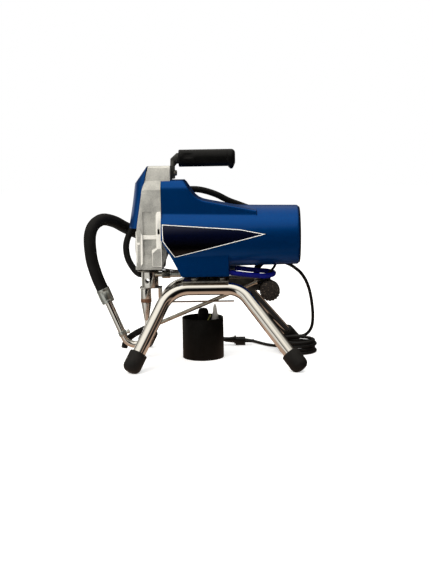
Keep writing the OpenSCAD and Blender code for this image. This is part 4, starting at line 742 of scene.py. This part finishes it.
# soft thermoplastic rubber: fine leathery texture, low sheen
grain = add(tree, "ShaderNodeTexVoronoi", {"Vector": place, "Scale": 900.0})
wear = add(tree, "ShaderNodeTexNoise", {"Vector": place, "Scale": 60.0, "Detail": 4.0})
tone = add(tree, "ShaderNodeValToRGB", {0: wear}, stops=[(0.3, "#040404"), (0.8, "#090909")])
relief = add(tree, "ShaderNodeBump",
             {"Height": grain.outputs["Distance"], "Strength": 0.22, "Distance": 0.0003})
surface(tree, {"Base Color": tone, "Roughness": 0.42, "Specular IOR Level": 0.2, "Normal": relief})
grip_start, grip_end, grip_z, grip_r, bar_r = -71, 40, 403.5, 16.75, 10.55
front_edge, groove_x, dome = 1.6, 25.2, 8
hook_depth, thumb_depth, thumb_x, thumb_turn = 5.2, 1.7, -52, 163
gx = np.concatenate([[grip_start] * 2, grip_start + front_edge * (1 - np.cos(np.linspace(0.2, 1.57, 6))),
                     np.linspace(-68, 23, 60), groove_x + np.linspace(-1.2, 1.2, 5),
                     np.linspace(27.4, grip_end - dome, 6),
                     grip_end - dome + dome * np.sin(np.linspace(0.1, 1.56, 16))])
gr = np.full_like(gx, grip_r)
gr[:2] = bar_r, grip_r - front_edge
near_edge = np.clip((grip_start + front_edge - gx[2:8]) / front_edge, 0, 1)
gr[2:8] = grip_r - front_edge * (1 - np.sqrt(1 - near_edge**2))
gr -= 0.5 * np.exp(-((gx - groove_x) / 0.5)**2)
gr -= dome * (1 - np.sqrt(1 - np.clip((gx - (grip_end - dome)) / dome, 0, 1)**2))
turn = np.linspace(0, 2 * np.pi, 96, endpoint=False)


def away(turn, degrees):
    """How many degrees an angle lies from a direction, the shorter way round."""
    return np.degrees(np.angle(np.exp(1j * (turn - np.radians(degrees)))))


# the hook swells under the rear end and is rounded off there; the dimple lies near the front
hook = hook_depth * ease(gx, 24, 31) * (1 - ease(gx, 34, 39.5))
down = np.exp(-(away(turn, -90) / 34)**2)
thumb = thumb_depth * np.exp(-((gx[:, None] - thumb_x) / 10)**4) * np.exp(-(away(turn, thumb_turn) / 17)**4)
reach = gr[:, None] + hook[:, None] * down - thumb
grid = np.stack([np.repeat(gx[:, None], len(turn), 1), reach * np.cos(turn),
                 grip_z + reach * np.sin(turn)], -1)
skin("grip", grid, grip_rubber, "handle_grip", slot="rubber")

# ---- pump ---------------------------------------------------------------------------------
# Turned and ground stainless steel: the sleeve under its lock nut, the rod in its packings,
# the foot valve in a forked yoke, a copper seat ring and the inlet cone.
turned_steel, tree, place = finish_named("turned_steel")
# lathe marks run round the pump's axis, drawn 0.5 mm apart so that they show
marks = add(tree, "ShaderNodeTexWave", {"Vector": place, "Scale": 640.0, "Distortion": 0.4},
            wave_type="BANDS", bands_direction="Z")
smear = add(tree, "ShaderNodeTexNoise", {"Vector": place, "Scale": 70.0, "Detail": 4.0})
dull = add(tree, "ShaderNodeMapRange", {0: smear, 1: 0.3, 2: 0.75, 3: 0.13, 4: 0.18})
relief = add(tree, "ShaderNodeBump", {"Height": marks, "Strength": 0.05, "Distance": 0.0001})
surface(tree, {"Base Color": "#E4E3DF", "Metallic": 1.0, "Roughness": dull, "Normal": relief})
for name, radius in (("pump_sleeve", 0.6), ("pump_yoke", 0.7), ("foot_valve", 0.5), ("inlet_cone", 0.3)):
    softened(name, radius, turned_steel)
dressed(chrome_plate, "pump_rod", "inlet_ball")
# annealed copper washer, browned by handling
copper = mottled("copper", {"Scale": 160.0, "Detail": 4.0}, [(0.3, "#7C5843"), (0.75, "#A67C62")],
                 {"Metallic": 0.8, "Roughness": 0.45})
softened("seat_ring", 0.5, copper)
# natural nylon: milky, with a soft glow
nylon = mottled("nylon", {"Scale": 120.0, "Detail": 2.0}, [(0.3, "#CFCBC2"), (0.8, "#E6E3DB")],
                {"Roughness": 0.38, "Transmission Weight": 0.25})
dressed(nylon, "throat_packing", "clear_stub")
# nickel plated brass fittings, warm where the plating is thin
nickel = mottled("nickel", {"Scale": 90.0, "Detail": 4.0}, [(0.35, "#C9C6BC"), (0.7, "#A19D90")],
                 {"Metallic": 1.0, "Roughness": 0.27})
softened("steel_fittings", 0.6, nickel)
softened("prime_valve", 0.6, nickel)

# ---- suction line -------------------------------------------------------------------------
# Chromed tube bent under the pump, a crimped aluminium ferrule, and a thick rubber hose that
# arches over the front to the strainer clipped on the far side.
suction_slope, suction_bend, suction_d = math.radians(22.5), 24, 14.5
valve_x, bend_z, suction_top, riser_top, into_ferrule = -143.5, 55, 118, 62, 12
uphill = np.array([-math.sin(suction_slope), 0, math.cos(suction_slope)])
bend_at = np.array([valve_x - suction_bend, 0, bend_z])
slope_foot = bend_at + suction_bend * np.array([-math.cos(suction_slope), 0, -math.sin(suction_slope)])
slope_len = (suction_top - slope_foot[2]) / math.cos(suction_slope)
bend = arc(bend_at[[0, 2]], suction_bend, math.pi + suction_slope, 2 * math.pi, 30)
line = np.vstack([[slope_foot + uphill * (slope_len + into_ferrule)],
                  np.column_stack([bend[:, 0], 0 * bend[:, 0], bend[:, 1]]), [[valve_x, 0, riser_top]]])
tube("suction_pipe", line, suction_d / 2, chrome_plate, sides=36, slot="chrome_tube", node="suction_tube")
lathe("pipe_collar", [valve_x, 0, riser_top - 2], [valve_x, 0, riser_top + 4],
      [[0, 7.2], [0, 7.7], [0.4, 8.05], [5.6, 8.05], [6, 7.7], [6, 3]], chrome_plate, slot="chrome_tube")

ferrule_foot, ferrule_len = slope_foot + uphill * slope_len, 30
ferrule_top = ferrule_foot + uphill * ferrule_len
bright_aluminium, tree, place = finish_named("bright_aluminium")
# crimped and tumbled aluminium sleeve
scuff = add(tree, "ShaderNodeTexNoise", {"Vector": place, "Scale": 150.0, "Detail": 5.0})
dull = add(tree, "ShaderNodeMapRange", {0: scuff, 3: 0.24, 4: 0.34})
surface(tree, {"Base Color": "#C4C9C5", "Metallic": 1.0, "Roughness": dull})
crimps = [[0, 7.3], [0, 12.3], [0.5, 12.9], [5.4, 13.3], [5.8, 13.0], [6.6, 13.0], [7.0, 13.4], [24, 13.6],
          [24.4, 13.3], [25.2, 13.3], [25.6, 13.6], [29.4, 13.7],
          [ferrule_len, 13.2], [ferrule_len, 12.0]]
lathe("ferrule", ferrule_foot, ferrule_top, crimps, bright_aluminium, "hose_ferrules", 56, "ferrules")
whip_crimps = [[0, 3], [0, 6.0], [0.5, 6.5]] + [[2.0 + 4.0 * k + d, r] for k in range(4) for d, r in
                                              ((0, 6.5), (1.5, 6.5), (2.0, 6.1), (3.2, 6.1))]
whip_crimps += [[18.6, 6.5], [21.4, 6.5], [22, 6.0], [22, 4.9]]
lathe("whip_ferrule", [-93, -8, 175], [-71, -8, 175], whip_crimps,
      bright_aluminium, sides=36, slot="ferrules")
lathe("elbow_ferrule", [18, 24, 181], [36, 24, 181], [[p[0] * 18 / 22, p[1]] for p in whip_crimps],
      bright_aluminium, sides=36, slot="ferrules")

hose_rubber, tree, place = finish_named("hose_rubber")
# wrapped and cured rubber hose: the cloth wrap leaves a fine rib round it
along = add(tree, "ShaderNodeAttribute", attribute_name="along").outputs["Fac"]
turns = add(tree, "ShaderNodeMath", {0: along, 1: 4.2}, operation="MULTIPLY")
rib = add(tree, "ShaderNodeMath", {0: turns}, operation="SINE")
dusty = add(tree, "ShaderNodeTexNoise", {"Vector": place, "Scale": 55.0, "Detail": 5.0})
tone = add(tree, "ShaderNodeValToRGB", {0: dusty}, stops=[(0.3, "#0A0A09"), (0.8, "#141312")])
relief = add(tree, "ShaderNodeBump", {"Height": rib, "Strength": 0.14, "Distance": 0.0003})
surface(tree, {"Base Color": tone, "Roughness": 0.6, "Specular IOR Level": 0.22, "Normal": relief})
suction_hose_r, whip_r, return_r = 12.2, 5, 6.5
suction_route = [
    [-238, -3, 164], [-243, -8, 182], [-248, -12, 204], [-250, -14, 224],
    [-251, -13, 243], [-250, -9, 258], [-246, -1, 271], [-238, 9, 280], [-226, 23, 284],
    [-208, 46, 277], [-190, 66, 264], [-166, 80, 251], [-136, 88, 240], [-100, 90, 231],
    [-66, 90, 226], [-46, 90, 226], [-34, 90, 226]]
hose_line = through([ferrule_top, ferrule_top + uphill * 6] + suction_route, 8)
tube("suction_line", hose_line, suction_hose_r, hose_rubber, node="suction_hose", slot="rubber")
softened("strainer", 0.6, black_moulding)

# ---- pressure and return hoses ------------------------------------------------------------
# A slim blue nylon hose from the pump's outlet round to the manifold, the black return hose
# from the prime valve up and over to the pump's rear, and the drain tube with its short hose.

# extruded nylon jacket, saturated, with a low sheen
blue_nylon = mottled("blue_nylon", {"Scale": 130.0, "Detail": 2.0}, [(0.3, "#020758"), (0.8, "#030C74")],
                     {"Roughness": 0.5, "Specular IOR Level": 0.12})
whip_route = [
    [-71, -8, 175], [-62, -8, 175], [-52, -12, 178.5], [-42, -19, 183], [-22, -28, 185],
    [0, -34, 184], [27, -36, 180], [50, -37, 177], [74, -36, 174], [94, -31, 172],
    [107, -20, 172], [113, -6, 173], [112, 8, 174], [103, 18, 175], [88, 23, 176],
    [66, 25, 178], [45, 24, 181], [36, 24, 181]]
return_route = [
    [-153.6, 19.1, 172], [-158.6, 24.1, 172], [-166, 28.5, 177], [-174, 30, 188], [-180.5, 29.5, 201],
    [-184, 30, 216], [-184.5, 34, 232], [-180, 42, 249], [-170, 54, 268], [-152, 62, 290],
    [-126, 68, 312], [-100, 71, 328], [-76, 71, 337], [-53, 70, 340], [-30, 70, 338],
    [-2, 72, 329], [25, 76, 315], [48, 79, 306], [76, 83, 294], [97, 86, 279],
    [110, 87, 260], [113, 82, 238], [107, 72, 213], [95, 58, 193], [83.5, 47, 182], [80, 43, 173],
    [80, 43, 164]]
drain_route = [
    [-122, 5.8, 71.9], [-127.6, 5.8, 69.6], [-135, 12.3, 66.3], [-143, 16.5, 62.8], [-154, 17.5, 58],
    [-167, 17.5, 51.5], [-178, 17.5, 44.5], [-187, 17.5, 36], [-191.5, 17.5, 28], [-193, 17.5, 21]]
for name, route, radius, material, node, slot in (
        ("pressure_whip", whip_route, whip_r, blue_nylon, "whip_hose", "blue_hose"),
        ("return_line", return_route, return_r, hose_rubber, "return_hose", "rubber"),
        ("drain_end", drain_route, return_r, hose_rubber, "drain_hose", "rubber")):
    tube(name, through(route, 8), radius, material, sides=28, node=node, slot=slot)
softened("drain_tube", 0.4, nickel)
clip_foot, clip_len = slope_foot + uphill * 4, 10
clip_middle = clip_foot + uphill * clip_len / 2
lathe("drain_clip", clip_foot, clip_foot + uphill * clip_len,
      [[0, 7.4], [0, 8.3], [0.3, 8.5], [clip_len - 0.3, 8.5], [clip_len, 8.3], [clip_len, 7.4]],
      bright_aluminium, sides=40, slot="steel")
lathe("clip_screw", clip_middle + [6, 0, 2], clip_middle + [14, 0, 5],
      [[0, 0], [0, 3], [4.4, 3], [4.5, 4.6], [8, 4.6], [8.5, 4.1], [8.5, 0]],
      bright_aluminium, sides=6, slot="steel")
clip_block = through([clip_middle + [0, 6, 0], clip_middle + [0, 8, 0],
                      [-187.5, 13.5, 35.5], [-187.3, 15, 35.3]], 4)
tube("clip_block", clip_block, 4.2, black_moulding, sides=24, slot="rubber")

# ---- manifold and its controls ------------------------------------------------------------
# A cast block under the plate with the paint outlet, the pressure switch and its knob, and
# the prime valve with a red lever.
# painted shade: the manifold is drawn in the dark casting finish for the shade it sits in under the plate
softened("manifold", 1.0, dark_casting_and_shade)
softened("pressure_switch", 1.0, black_moulding)
# glass-filled nylon, rough and greyed by overspray
knob_plastic = mottled("knob_plastic", {"Scale": 330.0, "Detail": 5.0, "Roughness": 0.7},
                       [(0.4, "#0F0B09"), (0.56, "#261F1A"), (0.68, "#6E5F52")], {"Roughness": 0.66},
                       (0.5, 0.0006))
softened("pressure_knob", 1.0, knob_plastic)
# moulded red acetal
red_plastic = mottled("red_plastic", {"Scale": 110.0, "Detail": 2.0},
                      [(0.3, "#8E1410"), (0.8, "#B3201A")], {"Roughness": 0.35})
softened("prime_lever", 0.8, red_plastic)

# ---- switch box ---------------------------------------------------------------------------
# A moulded box on the far side of the shroud with the power rocker and the control board, and
# the two wires that run from the motor to the switch and the sensor.
softened("control_box", 1.2, black_moulding)
softened("power_rocker", 0.5, red_plastic)
# glass-epoxy board under green solder resist
board_green = mottled("board_green", {"Scale": 300.0, "Detail": 2.0},
                      [(0.3, "#0B3D22"), (0.8, "#145C34")], {"Roughness": 0.3})
dressed(board_green, "control_board")
switch_wire = [[118, 2, 192], [115, 1, 186], [110, -2, 180], [103, -4, 174], [97, -5, 169],
               [97, -4, 165], [97, -4, 161]]
sensor_wire = [[-112, -15, 187], [-104, -15, 186.5], [-92, -15, 184.5], [-80, -17, 183.5], [-66, -20, 184],
               [-54, -24, 190], [-46, -27, 200]]
tube("switch_cable", through(switch_wire, 6), 2.5, cord_pvc, sides=20, node="wiring", slot="black_moulding")
tube("sensor_cable", through(sensor_wire, 6), 1.4, cord_pvc, sides=16, slot="black_moulding")

# ---- cup of spare pieces ------------------------------------------------------------------
# A matt black moulded beaker on the floor with a pale nozzle, a black cap, an olive tube and
# a light grey sleeve standing in it.
softened("cup", 0.9, black_moulding)
cup_x, cup_y, cup_floor = -31, 19, 2.5
# translucent olive vinyl tube
olive = mottled("olive", {"Scale": 140.0, "Detail": 2.0}, [(0.3, "#5C5F22"), (0.8, "#8A8B3A")],
                {"Roughness": 0.3})
lathe("nozzle", [cup_x + 25, cup_y + 6, cup_floor], [cup_x + 25, cup_y + 6, cup_floor + 105],
      [[0, 0], [0, 10.5], [0.5, 11], [58, 11], [59, 10.4], [61, 10.2], [62, 9], [64, 8.8], [82, 6.0],
       [103, 2.8], [104.6, 2.3], [105, 1.6], [105, 0]], nylon, "cup_contents", slot="small_pieces")
lathe("cap", [cup_x + 1, cup_y + 4, cup_floor], [cup_x + 1, cup_y + 4, cup_floor + 98],
      [[0, 0], [0, 10.5], [0.5, 11], [88, 11], [90, 10.8], [94.5, 9.4], [97, 7.6], [98, 5], [98, 0]],
      black_moulding, slot="black_moulding")
lathe("olive_tube", [cup_x - 28, cup_y - 19, cup_floor + 1], [cup_x + 17, cup_y - 12, cup_floor + 87],
      [[0, 0], [0, 1.2], [0.3, 1.5], [96, 1.5], [96.6, 1.2], [97, 0.8], [92, 0.8], [92, 0]],
      olive, sides=24, slot="small_pieces")
lathe("sleeve", [cup_x - 20, cup_y + 2, cup_floor], [cup_x - 20, cup_y + 2, cup_floor + 70],
      [[0, 0], [0, 8.6], [0.4, 9], [69, 9], [70, 8.4], [70, 6], [60, 6], [60, 0]],
      nylon, slot="small_pieces")
